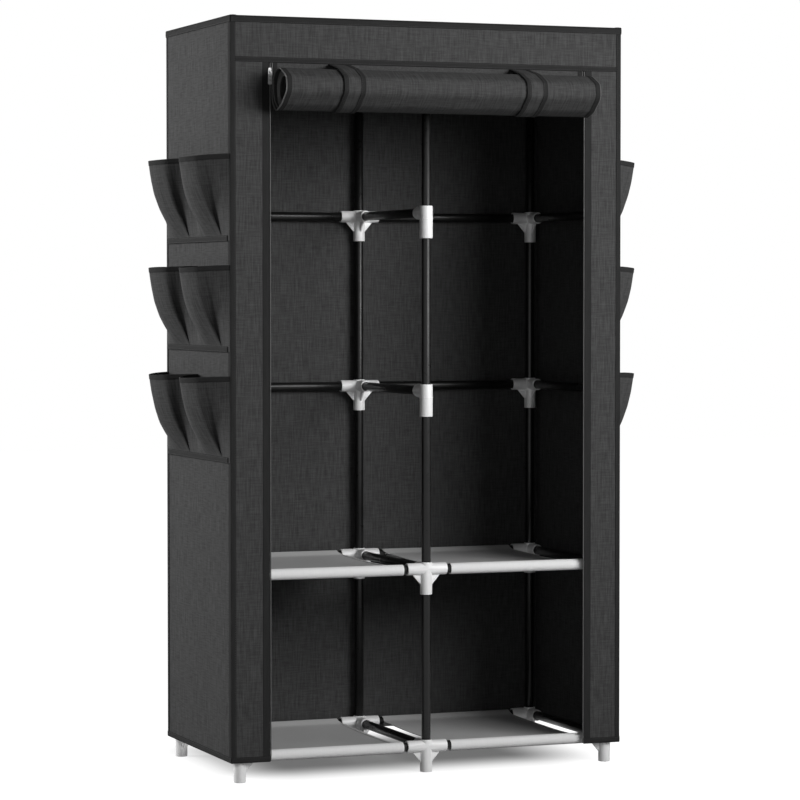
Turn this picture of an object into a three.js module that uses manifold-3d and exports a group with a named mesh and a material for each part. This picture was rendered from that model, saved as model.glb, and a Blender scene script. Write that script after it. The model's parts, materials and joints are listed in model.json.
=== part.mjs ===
// A portable wardrobe: a grid of steel tubes in plastic connectors, four cloth shelves on the tubes,
// and a sewn cloth cover with side pockets and a zipped door that is rolled up under its header.
// Millimetres. +X is right, +Y is back, +Z is up. The origin is on the floor, in the middle of the
// whole depth, from the back of the cover to the front of the rolled door.
import * as THREE from "three";
import { mergeVertices } from "three/addons/utils/BufferGeometryUtils.js";
import Module from "manifold-3d";

const wasm = await Module();
wasm.setup();

// Sizes of the cover
const coverWidth = 925;
const coverDepth = 465;
const coverHeight = 1660;
const hemLift = 47;
const headerDrop = 98;
const stileWidth = 88;
const clothThickness = 1;

// Clearances between pieces that touch on the real wardrobe
const seamGap = 0.3;
const socketGap = 0.3;

// Sizes of the tubes, and where the posts stand inside the cover
const tubeDiameter = 20;
const tubeWall = 0.7;
const tubeSides = 8;
const sidePostInset = 26;
const frontPostInset = 24;
const rearPostInset = 19;
const storeyRise = 395;

// Sizes of the plastic connectors
const sleeveDiameter = 27;
const plainSleeveDiameter = 29;
const sleeveRise = 17;
const sleeveDrop = 57;
const socketDiameter = 27;
const socketReach = 47;
const footFloor = 3;
const ribThickness = 4;
const ribReach = 32;
const ribDrop = 35;
const rodSocketReach = 34;

// Sizes of the shelf cloths
const shelfSleeveDiameter = 25;
const shelfEndSetback = 7;
const shelfSag = 3.5;
const shelfSteps = 6;

// Sizes of the side pockets
const pocketRows = 3;
const pocketTop = 1363;
const pocketPitch = 240;
const pocketHeight = 187;
const pocketBulge = 78;
const pocketLobes = 2;
const pocketEdgeSetback = 4;

// Sizes of the rolled door and its straps
const rollDiameter = 93;
const rollCore = 56;
const rollTurns = 6.5;
const rollSteps = 14;
const rollEndGap = 6;
const rollDrop = 60;
const strapWidth = 48;
const strapThickness = 1;
const strapSpacing = 428;
const strapTail = 12;
const strapSteps = 18;

// Sizes of the zip sliders and their pull tabs
const sliderWidth = 8;
const sliderHeight = 14;
const sliderThickness = 3;
const sliderNeckShare = 0.7;
const sliderPivotShare = 0.36;
const bridgeWindow = 2.4;
const bridgeWall = 1;
const bridgeWidth = 2.4;
const pullWidth = 9;
const pullLength = 28;
const pullThickness = 1.2;
const pullBar = 1.4;
const pullSideGap = 0.7;
const pullHole = 2.6;
const pullHolePitch = 7;
const zipTopGap = 12;

// Places worked out from the sizes
const overrun = tubeDiameter;
const tubeRadius = tubeDiameter / 2;
const sleeveRadius = sleeveDiameter / 2;
const rollRadius = rollDiameter / 2;
const frontY = -coverDepth / 2;
const backY = coverDepth / 2;
const roofUnderside = coverHeight - clothThickness;
const headerZ = coverHeight - headerDrop;
const sideX = coverWidth / 2;
const openingX = sideX - stileWidth;
const postX = sideX - sidePostInset;
const frontPostY = frontY + frontPostInset;
const rearPostY = backY - rearPostInset;
const midPostY = (frontPostY + rearPostY) / 2;
const topLevel = roofUnderside - seamGap - sleeveRadius;
const postTop = topLevel - tubeRadius - socketGap;
const strapRadius = rollRadius + seamGap + strapThickness / 2;
const rollY = frontY + clothThickness - rollRadius;
const rollZ = headerZ - rollDrop;
const frontReach = frontY - rollY + strapRadius + strapThickness / 2;

const columns = { left: -postX, centre: 0, right: postX };
const rows = { front: frontPostY, rear: rearPostY };
const levels = {
  bottom: sleeveDrop,
  lower: sleeveDrop + storeyRise,
  middle: sleeveDrop + storeyRise * 2,
  upper: sleeveDrop + storeyRise * 3,
};
const shelfLevels = ["bottom", "lower"];

// Finishes
function finish(color, roughness, metalness) {
  return new THREE.MeshStandardMaterial({ color, roughness, metalness });
}
const coverCloth = finish(0x3a3a3c, 0.9, 0);
const shelfCloth = finish(0xc9cacc, 0.9, 0);
const blackTube = finish(0x111112, 0.35, 0.4);
const whitePlastic = finish(0xe9e9ea, 0.45, 0);
const zipMetal = finish(0x9a9a9c, 0.3, 1);

// The wardrobe's own middle lies behind the origin by half of what stands out in front of the cover
const wardrobe = new THREE.Group();
const body = new THREE.Group();
body.position.y = frontReach / 2;
wardrobe.add(body);

function addPiece(name, geometry, material, x = 0, y = 0, z = 0) {
  const mesh = new THREE.Mesh(geometry, material);
  mesh.name = name;
  mesh.position.set(x, y, z);
  body.add(mesh);
}

// Solids that can be joined and cut
function solid(geometry) {
  geometry.deleteAttribute("normal");
  geometry.deleteAttribute("uv");
  const merged = mergeVertices(geometry);
  const vertProperties = new Float32Array(merged.attributes.position.array);
  const triVerts = new Uint32Array(merged.index.array);
  return new wasm.Manifold(new wasm.Mesh({ numProp: 3, vertProperties, triVerts }));
}

function geometryOf(shape) {
  const mesh = shape.getMesh();
  const geometry = new THREE.BufferGeometry();
  geometry.setAttribute("position", new THREE.BufferAttribute(mesh.vertProperties, mesh.numProp));
  geometry.setIndex(new THREE.BufferAttribute(mesh.triVerts, 1));
  geometry.computeVertexNormals();
  return geometry;
}

function join(shapes) {
  return shapes.reduce((sum, shape) => sum.add(shape));
}

function box(x0, x1, y0, y1, z0, z1) {
  const geometry = new THREE.BoxGeometry(x1 - x0, y1 - y0, z1 - z0);
  return geometry.translate((x0 + x1) / 2, (y0 + y1) / 2, (z0 + z1) / 2);
}

// A round bar between two points
function bar(start, end, radius) {
  const from = new THREE.Vector3(...start);
  const along = new THREE.Vector3(...end).sub(from);
  const geometry = new THREE.CylinderGeometry(radius, radius, along.length(), tubeSides);
  const up = new THREE.Vector3(0, 1, 0);
  geometry.applyQuaternion(new THREE.Quaternion().setFromUnitVectors(up, along.clone().normalize()));
  const middle = from.addScaledVector(along, 1 / 2);
  return solid(geometry.translate(middle.x, middle.y, middle.z));
}

// An outline drawn in Y and Z, and pushed along X
function pushAlongX(shape, x0, x1) {
  const geometry = new THREE.ExtrudeGeometry(shape, { depth: x1 - x0, bevelEnabled: false });
  const axes = new THREE.Matrix4().makeBasis(
    new THREE.Vector3(0, 1, 0),
    new THREE.Vector3(0, 0, 1),
    new THREE.Vector3(1, 0, 0),
  );
  return geometry.applyMatrix4(axes).translate(x0, 0, 0);
}

// An outline drawn in X and Z, and pushed along Y
function pushAlongY(shape, y0, y1) {
  const geometry = new THREE.ExtrudeGeometry(shape, { depth: y1 - y0, bevelEnabled: false });
  return geometry.rotateX(Math.PI / 2).translate(0, y1, 0);
}

function outline(points) {
  return new THREE.Shape(points.map(([a, b]) => new THREE.Vector2(a, b)));
}

// The outline of a strip of cloth that follows a line of points
function ribbon(points, thickness) {
  const left = [];
  const right = [];
  points.forEach(([a, b], i) => {
    const before = points[Math.max(i - 1, 0)];
    const after = points[Math.min(i + 1, points.length - 1)];
    const length = Math.hypot(after[0] - before[0], after[1] - before[1]);
    const shiftA = (-(after[1] - before[1]) / length) * (thickness / 2);
    const shiftB = ((after[0] - before[0]) / length) * (thickness / 2);
    left.push([a + shiftA, b + shiftB]);
    right.push([a - shiftA, b - shiftB]);
  });
  return outline([...left, ...right.reverse()]);
}

// Tubes welded or plugged into one another, with one hollow through them all
function tubeFrame(bars) {
  const outside = join(bars.map(({ start, end }) => bar(start, end, tubeRadius)));
  const inside = join(bars.map(({ start, end, open }) => {
    const reach = new THREE.Vector3(...end).sub(new THREE.Vector3(...start)).normalize();
    const extra = open ? overrun : 0;
    const from = new THREE.Vector3(...start).addScaledVector(reach, -extra);
    const to = new THREE.Vector3(...end).addScaledVector(reach, extra);
    return bar(from.toArray(), to.toArray(), tubeRadius - tubeWall);
  }));
  return outside.subtract(inside);
}

function post(x, y) {
  return { start: [x, y, footFloor + socketGap], end: [x, y, postTop], open: true };
}

function crossRails(y, z) {
  return [
    { start: [columns.left, y, z], end: [columns.centre, y, z] },
    { start: [columns.centre, y, z], end: [columns.right, y, z] },
  ];
}

// Front and rear frames: three posts each, joined by the rails that run across
function addTubeFrames() {
  const railLevels = { front: shelfLevels, rear: Object.keys(levels) };
  for (const [row, y] of Object.entries(rows)) {
    const posts = Object.values(columns).map((x) => post(x, y));
    const rails = railLevels[row].flatMap((level) => crossRails(y, levels[level]));
    addPiece(`${row}_tube_frame`, geometryOf(tubeFrame([...posts, ...rails])), blackTube);
  }
}

// Depth rails: one from the front to the rear at each column and level, plugged between two posts
function addDepthRails() {
  const start = frontPostY + tubeRadius + socketGap;
  const end = rearPostY - tubeRadius - socketGap;
  for (const [column, x] of Object.entries(columns)) {
    for (const [level, z] of Object.entries(levels)) {
      const rail = tubeFrame([{ start: [0, start, 0], end: [0, end, 0], open: true }]);
      addPiece(`depth_rail_${column}_${level}`, geometryOf(rail), blackTube, x, 0, z);
    }
  }
}

// The directions in which a connector has sockets, and the rib under each one
const directions = { left: [-1, 0], right: [1, 0], front: [0, -1], rear: [0, 1] };

function rib([dx, dy]) {
  const shape = outline([
    [0, 0],
    [ribReach, -socketDiameter / 2],
    [sleeveRadius, -ribDrop],
    [0, -ribDrop],
  ]);
  const plate = pushAlongY(shape, -ribThickness / 2, ribThickness / 2);
  return solid(plate.rotateZ(Math.atan2(dy, dx)));
}

// The outside of one connector round its level axis, still without its bores: one socket alone has
// no rib, and is as thick as its sleeve
function connectorBody(arms, rise) {
  const isPlain = arms.length === 1;
  const sleeveWidth = isPlain ? plainSleeveDiameter : sleeveDiameter;
  const socketWidth = isPlain ? plainSleeveDiameter : socketDiameter;
  const sleeve = bar([0, 0, -sleeveDrop], [0, 0, rise], sleeveWidth / 2);
  const sockets = arms.map((arm) => {
    const [dx, dy] = directions[arm];
    return bar([0, 0, 0], [dx * socketReach, dy * socketReach, 0], socketWidth / 2);
  });
  const ribs = isPlain ? [] : arms.map((arm) => rib(directions[arm]));
  return join([sleeve, ...sockets, ...ribs]);
}

function connector(arms, isFoot) {
  const boreRadius = tubeRadius + socketGap;
  const boreFloor = isFoot ? footFloor - sleeveDrop : -sleeveDrop - overrun;
  const bores = arms.map((arm) => {
    const [dx, dy] = directions[arm];
    const reach = socketReach + overrun;
    return bar([0, 0, 0], [dx * reach, dy * reach, 0], boreRadius);
  });
  bores.push(bar([0, 0, boreFloor], [0, 0, sleeveRise + overrun], boreRadius));
  return connectorBody(arms, sleeveRise).subtract(join(bores));
}

// The sockets that a connector has, from the tubes that meet there
function armsAt(row, column, level) {
  const arms = [row === "front" ? "rear" : "front"];
  const crossed = row === "rear" || shelfLevels.includes(level) || level === "top";
  if (crossed && column !== "left") arms.push("left");
  if (crossed && column !== "right") arms.push("right");
  return arms;
}

function addConnectors() {
  for (const [level, z] of Object.entries(levels)) {
    const kind = level === "bottom" ? "foot" : "connector";
    const tail = level === "bottom" ? "" : `_${level}`;
    for (const [row, y] of Object.entries(rows)) {
      for (const [column, x] of Object.entries(columns)) {
        const piece = connector(armsAt(row, column, level), level === "bottom");
        addPiece(`${kind}_${row}_${column}${tail}`, geometryOf(piece), whitePlastic, x, y, z);
      }
    }
  }
}

// The top frame: its ring, the middle rail, the hanging rods, and the fittings moulded onto them
function addTopFrame() {
  const rails = Object.values(rows).flatMap((y) => crossRails(y, 0));
  const tie = (x) => ({ start: [x, frontPostY, 0], end: [x, rearPostY, 0] });
  const ties = Object.values(columns).map(tie);
  const bars = [...rails, ...ties, ...crossRails(midPostY, 0)];
  const tubes = bars.map(({ start, end }) => bar(start, end, tubeRadius));
  const hollows = bars.map(({ start, end }) => bar(start, end, tubeRadius - tubeWall));
  const fittings = [];
  const bores = [];
  for (const [column, x] of Object.entries(columns)) {
    for (const [row, y] of Object.entries(rows)) {
      fittings.push(connectorBody(armsAt(row, column, "top"), sleeveRadius).translate([x, y, 0]));
      bores.push(bar([x, y, -sleeveDrop - overrun], [x, y, -tubeRadius], tubeRadius + socketGap));
      bores.push(bar([x, y, -tubeRadius - overrun], [x, y, 0], tubeRadius - tubeWall));
    }
    const socketStart = midPostY - rodSocketReach;
    const socketEnd = midPostY + rodSocketReach;
    fittings.push(bar([x, socketStart, 0], [x, socketEnd, 0], socketDiameter / 2));
    const inward = x === 0 ? [-rodSocketReach, rodSocketReach] : [0, -Math.sign(x) * rodSocketReach];
    const [from, to] = inward.map((reach) => [x + reach, midPostY, 0]);
    fittings.push(bar(from, to, socketDiameter / 2));
  }
  const frame = join([...tubes, ...fittings]).subtract(join([...hollows, ...bores]));
  addPiece("top_frame_and_hanging_rods", geometryOf(frame), blackTube, 0, 0, topLevel);
}

// Shelf cloths: a sheet with a sewn sleeve round the front rail and one round the rear rail
function shelfSheet(length, loopDrop) {
  const radius = shelfSleeveDiameter / 2;
  const start = frontPostY + radius - clothThickness / 2;
  const end = rearPostY - radius + clothThickness / 2;
  const points = [];
  for (let i = 0; i <= shelfSteps; i += 1) {
    const share = i / shelfSteps;
    const sag = shelfSag * 4 * share * (1 - share);
    points.push([start + (end - start) * share, -loopDrop - sag]);
  }
  return solid(pushAlongX(ribbon(points, clothThickness), -length / 2, length / 2));
}

function addShelves() {
  const inner = socketReach + shelfEndSetback;
  const length = postX - inner * 2;
  const radius = shelfSleeveDiameter / 2;
  const loopDrop = radius - clothThickness - tubeRadius - seamGap;
  const sleeve = (y, r, half) => bar([-half, y, -loopDrop], [half, y, -loopDrop], r);
  const ends = Object.values(rows);
  const outsides = ends.map((y) => sleeve(y, radius, length / 2));
  const insides = ends.map((y) => sleeve(y, radius - clothThickness, length / 2 + overrun));
  const cloth = join([shelfSheet(length, loopDrop), ...outsides]).subtract(join(insides));
  for (const level of shelfLevels) {
    for (const [side, direction] of [["left", -1], ["right", 1]]) {
      const x = direction * (postX / 2);
      addPiece(`shelf_cloth_${side}_${level}`, geometryOf(cloth), shelfCloth, x, 0, levels[level]);
    }
  }
}

// Cover panels: the back and the roof are one bent cloth, and the others hang under the roof
function addCoverPanels() {
  const lift = hemLift;
  const top = roofUnderside - seamGap;
  const backAndTop = outline([
    [backY, lift],
    [backY, coverHeight],
    [frontY, coverHeight],
    [frontY, roofUnderside],
    [backY - clothThickness, roofUnderside],
    [backY - clothThickness, lift],
  ]);
  addPiece("cover_back_and_top", pushAlongX(backAndTop, -sideX, sideX), coverCloth);
  const sideStart = frontY + clothThickness + seamGap;
  const sideEnd = backY - clothThickness - seamGap;
  const innerX = sideX - clothThickness;
  addPiece("cover_left_side", box(-sideX, -innerX, sideStart, sideEnd, lift, top), coverCloth);
  addPiece("cover_right_side", box(innerX, sideX, sideStart, sideEnd, lift, top), coverCloth);
  const frontFrame = outline([
    [-sideX, lift],
    [-openingX, lift],
    [-openingX, headerZ],
    [openingX, headerZ],
    [openingX, lift],
    [sideX, lift],
    [sideX, top],
    [-sideX, top],
  ]);
  addPiece("cover_front_frame", pushAlongY(frontFrame, frontY, frontY + clothThickness), coverCloth);
}

// Side pockets. Each row of shares is a level of one lobe: its rise as a share of the height, where
// the lobe's corner is as a share of its width, and how far the corner and the lobe's middle stand
// out as shares of the bulge
const pocketLevelShares = [
  [0, 0.29, 0, 0],
  [0.2, 0.26, 0.23, 0.47],
  [0.37, 0.23, 0.46, 0.66],
  [0.56, 0.2, 0.66, 0.83],
  [0.75, 0.17, 0.82, 0.91],
  [1, 0.13, 0.91, 1],
];
const lobeCrownShare = 0.8;

// One level of a lobe, from its front seam up to its rear one: places across it, and how far it
// stands out there, as shares
function lobeLevel([, corner, cornerStand, middleStand]) {
  const shoulder = (corner + 1 / 2) / 2;
  const shoulderStand = cornerStand + (middleStand - cornerStand) * lobeCrownShare;
  return [
    [0, 0],
    [corner, cornerStand],
    [shoulder, shoulderStand],
    [1 / 2, middleStand],
    [1 - shoulder, shoulderStand],
    [1 - corner, cornerStand],
  ];
}

function pocketGeometry(side) {
  const span = coverDepth - pocketEdgeSetback * 2;
  const lobeWidth = span / pocketLobes;
  const positions = [];
  for (const inset of [0, clothThickness]) {
    for (const level of pocketLevelShares) {
      const z = pocketHeight * level[0];
      const seamStand = side * (seamGap + clothThickness - inset);
      for (let lobe = 0; lobe < pocketLobes; lobe += 1) {
        for (const [across, stand] of lobeLevel(level)) {
          const inward = across === 0 ? 0 : Math.sign(1 / 2 - across) * inset;
          const y = lobeWidth * (lobe + across) - span / 2 + inward;
          positions.push(seamStand + side * pocketBulge * stand, y, z);
        }
      }
      positions.push(seamStand, span / 2, z);
    }
  }
  return shellGeometry(positions, pocketLevelShares.length, side > 0);
}

// A sheet with two faces and four edges, from the points of its outer face and then its inner one,
// level by level
function shellGeometry(positions, levelCount, facesRight) {
  const layer = positions.length / 6;
  const ring = layer / levelCount;
  const steps = ring - 1;
  const faces = [];
  const quad = (a, b, c, d) => faces.push(...(facesRight ? [a, b, c, a, c, d] : [a, c, b, a, d, c]));
  for (let j = 0; j < levelCount - 1; j += 1) {
    for (let i = 0; i < steps; i += 1) {
      const a = j * ring + i;
      quad(a, a + 1, a + 1 + ring, a + ring);
      quad(layer + a, layer + a + ring, layer + a + 1 + ring, layer + a + 1);
    }
    const near = j * ring;
    const far = near + steps;
    quad(near, near + ring, layer + near + ring, layer + near);
    quad(far, layer + far, layer + far + ring, far + ring);
  }
  const mouth = layer - ring;
  for (let i = 0; i < steps; i += 1) {
    quad(i, layer + i, layer + i + 1, i + 1);
    quad(mouth + i, mouth + i + 1, layer + mouth + i + 1, layer + mouth + i);
  }
  const geometry = new THREE.BufferGeometry();
  geometry.setAttribute("position", new THREE.Float32BufferAttribute(positions, 3));
  geometry.setIndex(faces);
  geometry.computeVertexNormals();
  return geometry;
}

function addPockets() {
  for (const [side, direction] of [["left", -1], ["right", 1]]) {
    for (let i = 0; i < pocketRows; i += 1) {
      const x = direction * sideX;
      const z = pocketTop - pocketHeight - pocketPitch * i;
      addPiece(`side_pocket_${side}_${i + 1}`, pocketGeometry(direction), coverCloth, x, 0, z);
    }
  }
}

// A point round the roll: no turn is at its back, and a positive turn leads under it to its front
function aroundRoll(radius, turnShare) {
  const angle = turnShare * Math.PI * 2;
  return [rollY + radius * Math.cos(angle), rollZ - radius * Math.sin(angle)];
}

// The door hangs from the header's edge, and is rolled outwards from its hem up round an open core
function addRolledDoor() {
  const outer = rollRadius - clothThickness / 2;
  const inner = rollCore / 2 + clothThickness / 2;
  const steps = Math.round(rollTurns * rollSteps);
  const points = [[rollY + outer, headerZ - seamGap]];
  for (let i = 0; i <= steps; i += 1) {
    const radius = outer + ((inner - outer) * i) / steps;
    points.push(aroundRoll(radius, i / rollSteps));
  }
  const half = openingX - rollEndGap;
  addPiece("rolled_door", pushAlongX(ribbon(points, clothThickness), -half, half), coverCloth);
}

// Straps: sewn inside the header, brought down behind the door, under the roll, up its front and
// over its top, and sewn to the header's face
function strapPath() {
  const leave = [frontY - seamGap - strapThickness / 2, headerZ];
  const reach = Math.hypot(leave[0] - rollY, leave[1] - rollZ);
  const leaveShare = -Math.atan2(leave[1] - rollZ, leave[0] - rollY) / (Math.PI * 2);
  const meetShare = 1 + leaveShare - Math.acos(strapRadius / reach) / (Math.PI * 2);
  const points = [[rollY + strapRadius, headerZ + strapTail]];
  for (let i = 0; i <= strapSteps; i += 1) {
    points.push(aroundRoll(strapRadius, (meetShare * i) / strapSteps));
  }
  return [...points, leave, [leave[0], headerZ + strapTail]];
}

function addStraps() {
  for (const [side, direction] of [["left", -1], ["right", 1]]) {
    const x = (direction * strapSpacing) / 2;
    const strap = pushAlongX(ribbon(strapPath(), strapThickness), -strapWidth / 2, strapWidth / 2);
    addPiece(`door_strap_${side}`, strap, coverCloth, x, 0, 0);
  }
}

// Zip sliders: a tapered body on the zip, with a small bridge that holds the pull tab's bar
function zipSlider() {
  const neck = (sliderWidth / 2) * sliderNeckShare;
  const low = -sliderHeight * sliderPivotShare;
  const high = low + sliderHeight;
  const wide = sliderWidth / 2;
  const middle = (low + high) / 2;
  const shape = outline([
    [-neck, low],
    [neck, low],
    [wide, middle],
    [neck, high],
    [-neck, high],
    [-wide, middle],
  ]);
  const back = bridgeWindow / 2;
  const plate = solid(pushAlongY(shape, back, back + sliderThickness));
  const reach = bridgeWindow / 2 + bridgeWall;
  const half = bridgeWidth / 2;
  const bridge = solid(box(-half, half, -reach, back + bridgeWall, -reach, reach));
  const hole = solid(box(-bridgeWidth, bridgeWidth, -back, back, -back, back));
  return plate.add(bridge.subtract(hole));
}

function pullTab() {
  const half = pullWidth / 2;
  const top = pullBar / 2;
  const slotHalf = bridgeWidth / 2 + pullSideGap;
  const bridgeReach = bridgeWindow / 2 + bridgeWall;
  const slotEnd = Math.hypot(bridgeReach, bridgeReach) + pullSideGap;
  const round = pullWidth / 3;
  const shape = new THREE.Shape();
  shape.moveTo(-half, top);
  shape.lineTo(-half, top - pullLength + round);
  shape.quadraticCurveTo(-half, top - pullLength, -half + round, top - pullLength);
  shape.lineTo(half - round, top - pullLength);
  shape.quadraticCurveTo(half, top - pullLength, half, top - pullLength + round);
  shape.lineTo(half, top);
  const slot = [[-slotHalf, -top], [slotHalf, -top], [slotHalf, -slotEnd], [-slotHalf, -slotEnd]];
  shape.holes.push(new THREE.Path(slot.map(([a, b]) => new THREE.Vector2(a, b))));
  for (const turn of [1, 2]) {
    const hole = new THREE.Path();
    hole.absarc(0, -slotEnd - pullHolePitch * turn, pullHole / 2, 0, Math.PI * 2, true);
    shape.holes.push(hole);
  }
  const push = { depth: pullThickness, bevelEnabled: false, curveSegments: 4 };
  const geometry = new THREE.ExtrudeGeometry(shape, push);
  return geometry.rotateX(Math.PI / 2).translate(0, pullThickness / 2, 0);
}

function addZips() {
  const pivotY = frontY - seamGap - sliderThickness - bridgeWindow / 2;
  const sliderTop = sliderHeight * (1 - sliderPivotShare);
  const pivotZ = headerZ - zipTopGap - sliderTop;
  for (const [side, direction] of [["left", -1], ["right", 1]]) {
    const x = direction * openingX;
    addPiece(`zip_slider_${side}`, geometryOf(zipSlider()), zipMetal, x, pivotY, pivotZ);
    addPiece(`zip_pull_${side}`, pullTab(), zipMetal, x, pivotY, pivotZ);
  }
}

addTubeFrames();
addTopFrame();
addDepthRails();
addConnectors();
addShelves();
addCoverPanels();
addPockets();
addRolledDoor();
addStraps();
addZips();

export default wardrobe;
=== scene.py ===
# %% [markdown]
# # Dressing a fabric wardrobe
# The real wardrobe is a grid of black steel tubes plugged into white plastic connectors. A sewn cover
# of charcoal cloth hangs over the grid, with pockets on its sides and a zipped door that is rolled up
# under its header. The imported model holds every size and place, so the script starts by loading it and
# reading from it where each piece goes. Everything below is in metres: X to the right, Y to the back
# and Z up.

# %% Load the frame
import json
import math

import bpy
import numpy as np
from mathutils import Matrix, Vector, noise


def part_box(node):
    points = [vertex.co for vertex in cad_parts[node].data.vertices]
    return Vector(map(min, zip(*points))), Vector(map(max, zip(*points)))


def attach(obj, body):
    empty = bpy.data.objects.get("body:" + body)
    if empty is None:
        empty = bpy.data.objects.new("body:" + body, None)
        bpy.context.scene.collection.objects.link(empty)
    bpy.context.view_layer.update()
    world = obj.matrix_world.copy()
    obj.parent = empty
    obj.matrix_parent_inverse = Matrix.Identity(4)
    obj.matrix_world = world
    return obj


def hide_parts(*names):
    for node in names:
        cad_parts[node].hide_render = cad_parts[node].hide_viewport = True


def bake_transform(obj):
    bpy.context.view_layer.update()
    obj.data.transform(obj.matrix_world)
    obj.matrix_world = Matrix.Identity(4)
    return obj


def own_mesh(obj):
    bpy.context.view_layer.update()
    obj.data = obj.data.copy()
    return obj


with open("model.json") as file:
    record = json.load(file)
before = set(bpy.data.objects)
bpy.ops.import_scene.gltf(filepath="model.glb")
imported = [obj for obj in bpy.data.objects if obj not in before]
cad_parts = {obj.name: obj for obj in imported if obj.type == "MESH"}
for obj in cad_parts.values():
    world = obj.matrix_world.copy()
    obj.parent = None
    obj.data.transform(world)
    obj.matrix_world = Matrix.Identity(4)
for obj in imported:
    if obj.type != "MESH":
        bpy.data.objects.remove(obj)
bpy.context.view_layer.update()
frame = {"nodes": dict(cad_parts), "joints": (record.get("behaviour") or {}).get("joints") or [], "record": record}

# %% Places read from the frame
MM = 0.001
cad_cloth = 1 * MM
seam_gap = 0.3 * MM


def middle(node):
    low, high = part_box(node)
    return (low + high) / 2


cover_low, cover_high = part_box("cover_back_and_top")
roll_low, roll_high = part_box("rolled_door")
side_x, back_y, roof_z = cover_high
front_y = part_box("cover_front_frame")[0].y
hem_z = cover_low.z
header_z = roll_high.z + seam_gap
opening_x = middle("zip_slider_right").x

feet = {mount["name"]: mount["pos_m"] for mount in frame["record"]["mounts"]}
columns = {name: feet[f"foot_front_{name}_rest"][0] for name in ("left", "centre", "right")}
rows = {name: feet[f"foot_{name}_centre_rest"][1] for name in ("front", "rear")}
levels = {name: middle(f"depth_rail_centre_{name}").z for name in ("bottom", "lower", "middle", "upper")}
print("cover half width", round(side_x, 4), "front", round(front_y, 4), "roof", round(roof_z, 3))

# %% [markdown]
# ## Shader nodes in one short call
# Each material below is a small tree of nodes. A helper that adds a node, sets its options and either
# links or fills its inputs keeps those trees as short as the idea behind them.

# %% A helper for materials
def new_material(name, roughness, **sockets):
    """A material whose plain values sit on the shader itself; returns it with its tree and shader."""
    material = bpy.data.materials.new(name)
    material.use_nodes = True
    shader = material.node_tree.nodes["Principled BSDF"]
    shader.inputs["Roughness"].default_value = roughness
    for socket, value in sockets.items():
        shader.inputs[socket.replace("_", " ")].default_value = value
    return material, material.node_tree, shader


def node(tree, kind, inputs, **settings):
    """Adds a node; an input is either another node's output, which is linked, or a plain value."""
    made = tree.nodes.new("ShaderNode" + kind)
    for setting, value in settings.items():
        setattr(made, setting, value)
    for socket, value in inputs.items():
        if isinstance(value, bpy.types.NodeSocket):
            tree.links.new(value, made.inputs[socket])
        else:
            made.inputs[socket].default_value = value
    return made


def ramp(tree, value, start, end, low=0.0, high=1.0, **settings):
    """Turns values from `start` to `end` into values from `low` to `high`."""
    inputs = {"Value": value, "From Min": start, "From Max": end, "To Min": low, "To Max": high}
    return node(tree, "MapRange", inputs, **settings).outputs[0]


def grain(tree, vector, cell, detail=2.0, low=0.3, high=0.7):
    """Noise from 0 to 1 whose patches have the size `cell`, in metres, along each axis."""
    scale = [0 if size is None else 1 / size for size in cell]
    scaled = node(tree, "VectorMath", {0: vector, 1: scale}, operation="MULTIPLY")
    patches = node(tree, "TexNoise", {"Vector": scaled.outputs[0], "Scale": 1.0, "Detail": detail})
    return ramp(tree, patches.outputs[0], low, high)


def weighed(tree, parts):
    """The sum of several values, each with its weight."""
    total = None
    for value, weight in parts:
        share = node(tree, "Math", {0: value, 1: weight}, operation="MULTIPLY").outputs[0]
        if total is None:
            total = share
        else:
            total = node(tree, "Math", {0: total, 1: share}, operation="ADD").outputs[0]
    return total


def shade_between(tree, factor, dark, light):
    mixed = node(tree, "Mix", {"Factor": factor}, data_type="RGBA")
    mixed.inputs[6].default_value = (*dark, 1)
    mixed.inputs[7].default_value = (*light, 1)
    return mixed.outputs[2]


def bump(tree, shader, height, depth, strength=1.0):
    raised = node(tree, "Bump", {"Height": height, "Distance": depth, "Strength": strength})
    tree.links.new(raised.outputs[0], shader.inputs["Normal"])

# %% [markdown]
# ## Cloth that knows its own threads
# The cover is a coarse charcoal cloth with the look of linen: thick threads show as lighter streaks,
# mostly down the cloth and fainter across it. A texture in object space would slide through a rolled
# door or a pocket, so every cloth mesh below carries an attribute named weave: metres across the cloth,
# metres along it, and metres from its nearer long edge. The noise is stretched in those directions.

# %% Cloth materials
charcoal_tint = (0.998, 1.0, 1.004)
plain_tint = (1.0, 1.0, 1.0)
cloth_specular = 0.05
tape_specular = 0.06
tape_roughness = 0.85
tape_relief = 0.12 * MM
# Widths of painted shade on a tape: at its turned-in edges, and across its fold
edge_shade_width = 1.4 * MM
fold_shade_from, fold_shade_to = 9.6 * MM, 11 * MM
rib_weight, painted_shade_weight, plain_weight = 0.12, 0.35, 0.16
tape_dark_share, tape_light_share = 0.35, 1.25

# Each pattern's size across and along the cloth, its detail, and its weight
cloth_patterns = [((3.2 * MM, 44 * MM, None), 3.0, 0.44), ((34 * MM, 3.0 * MM, None), 3.0, 0.30),
                  ((1.1 * MM, 1.5 * MM, None), 1.0, 0.26)]
tape_patterns = [((0.8 * MM, 2.5 * MM, None), 2.0, 0.30), ((9 * MM, 60 * MM, None), 2.0, 0.25)]


def tinted(level, tint=plain_tint):
    return tuple(level * share for share in tint)


def woven(tree, patterns):
    """The weave attribute, and the patterns that follow it with their weights."""
    weave = node(tree, "Attribute", {}, attribute_name="weave").outputs["Vector"]
    return weave, [(grain(tree, weave, cell, detail), weight) for cell, detail, weight in patterns]


def cloth_material(name, level, contrast, roughness, relief, tint=plain_tint):
    material, tree, shader = new_material(name, roughness, Specular_IOR_Level=cloth_specular)
    _, threads = woven(tree, cloth_patterns)
    factor = weighed(tree, threads)
    colour = shade_between(tree, factor, tinted(level * (1 - contrast), tint),
                           tinted(level * (1 + contrast), tint))
    tree.links.new(colour, shader.inputs["Base Color"])
    bump(tree, shader, factor, relief)
    return material


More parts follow.
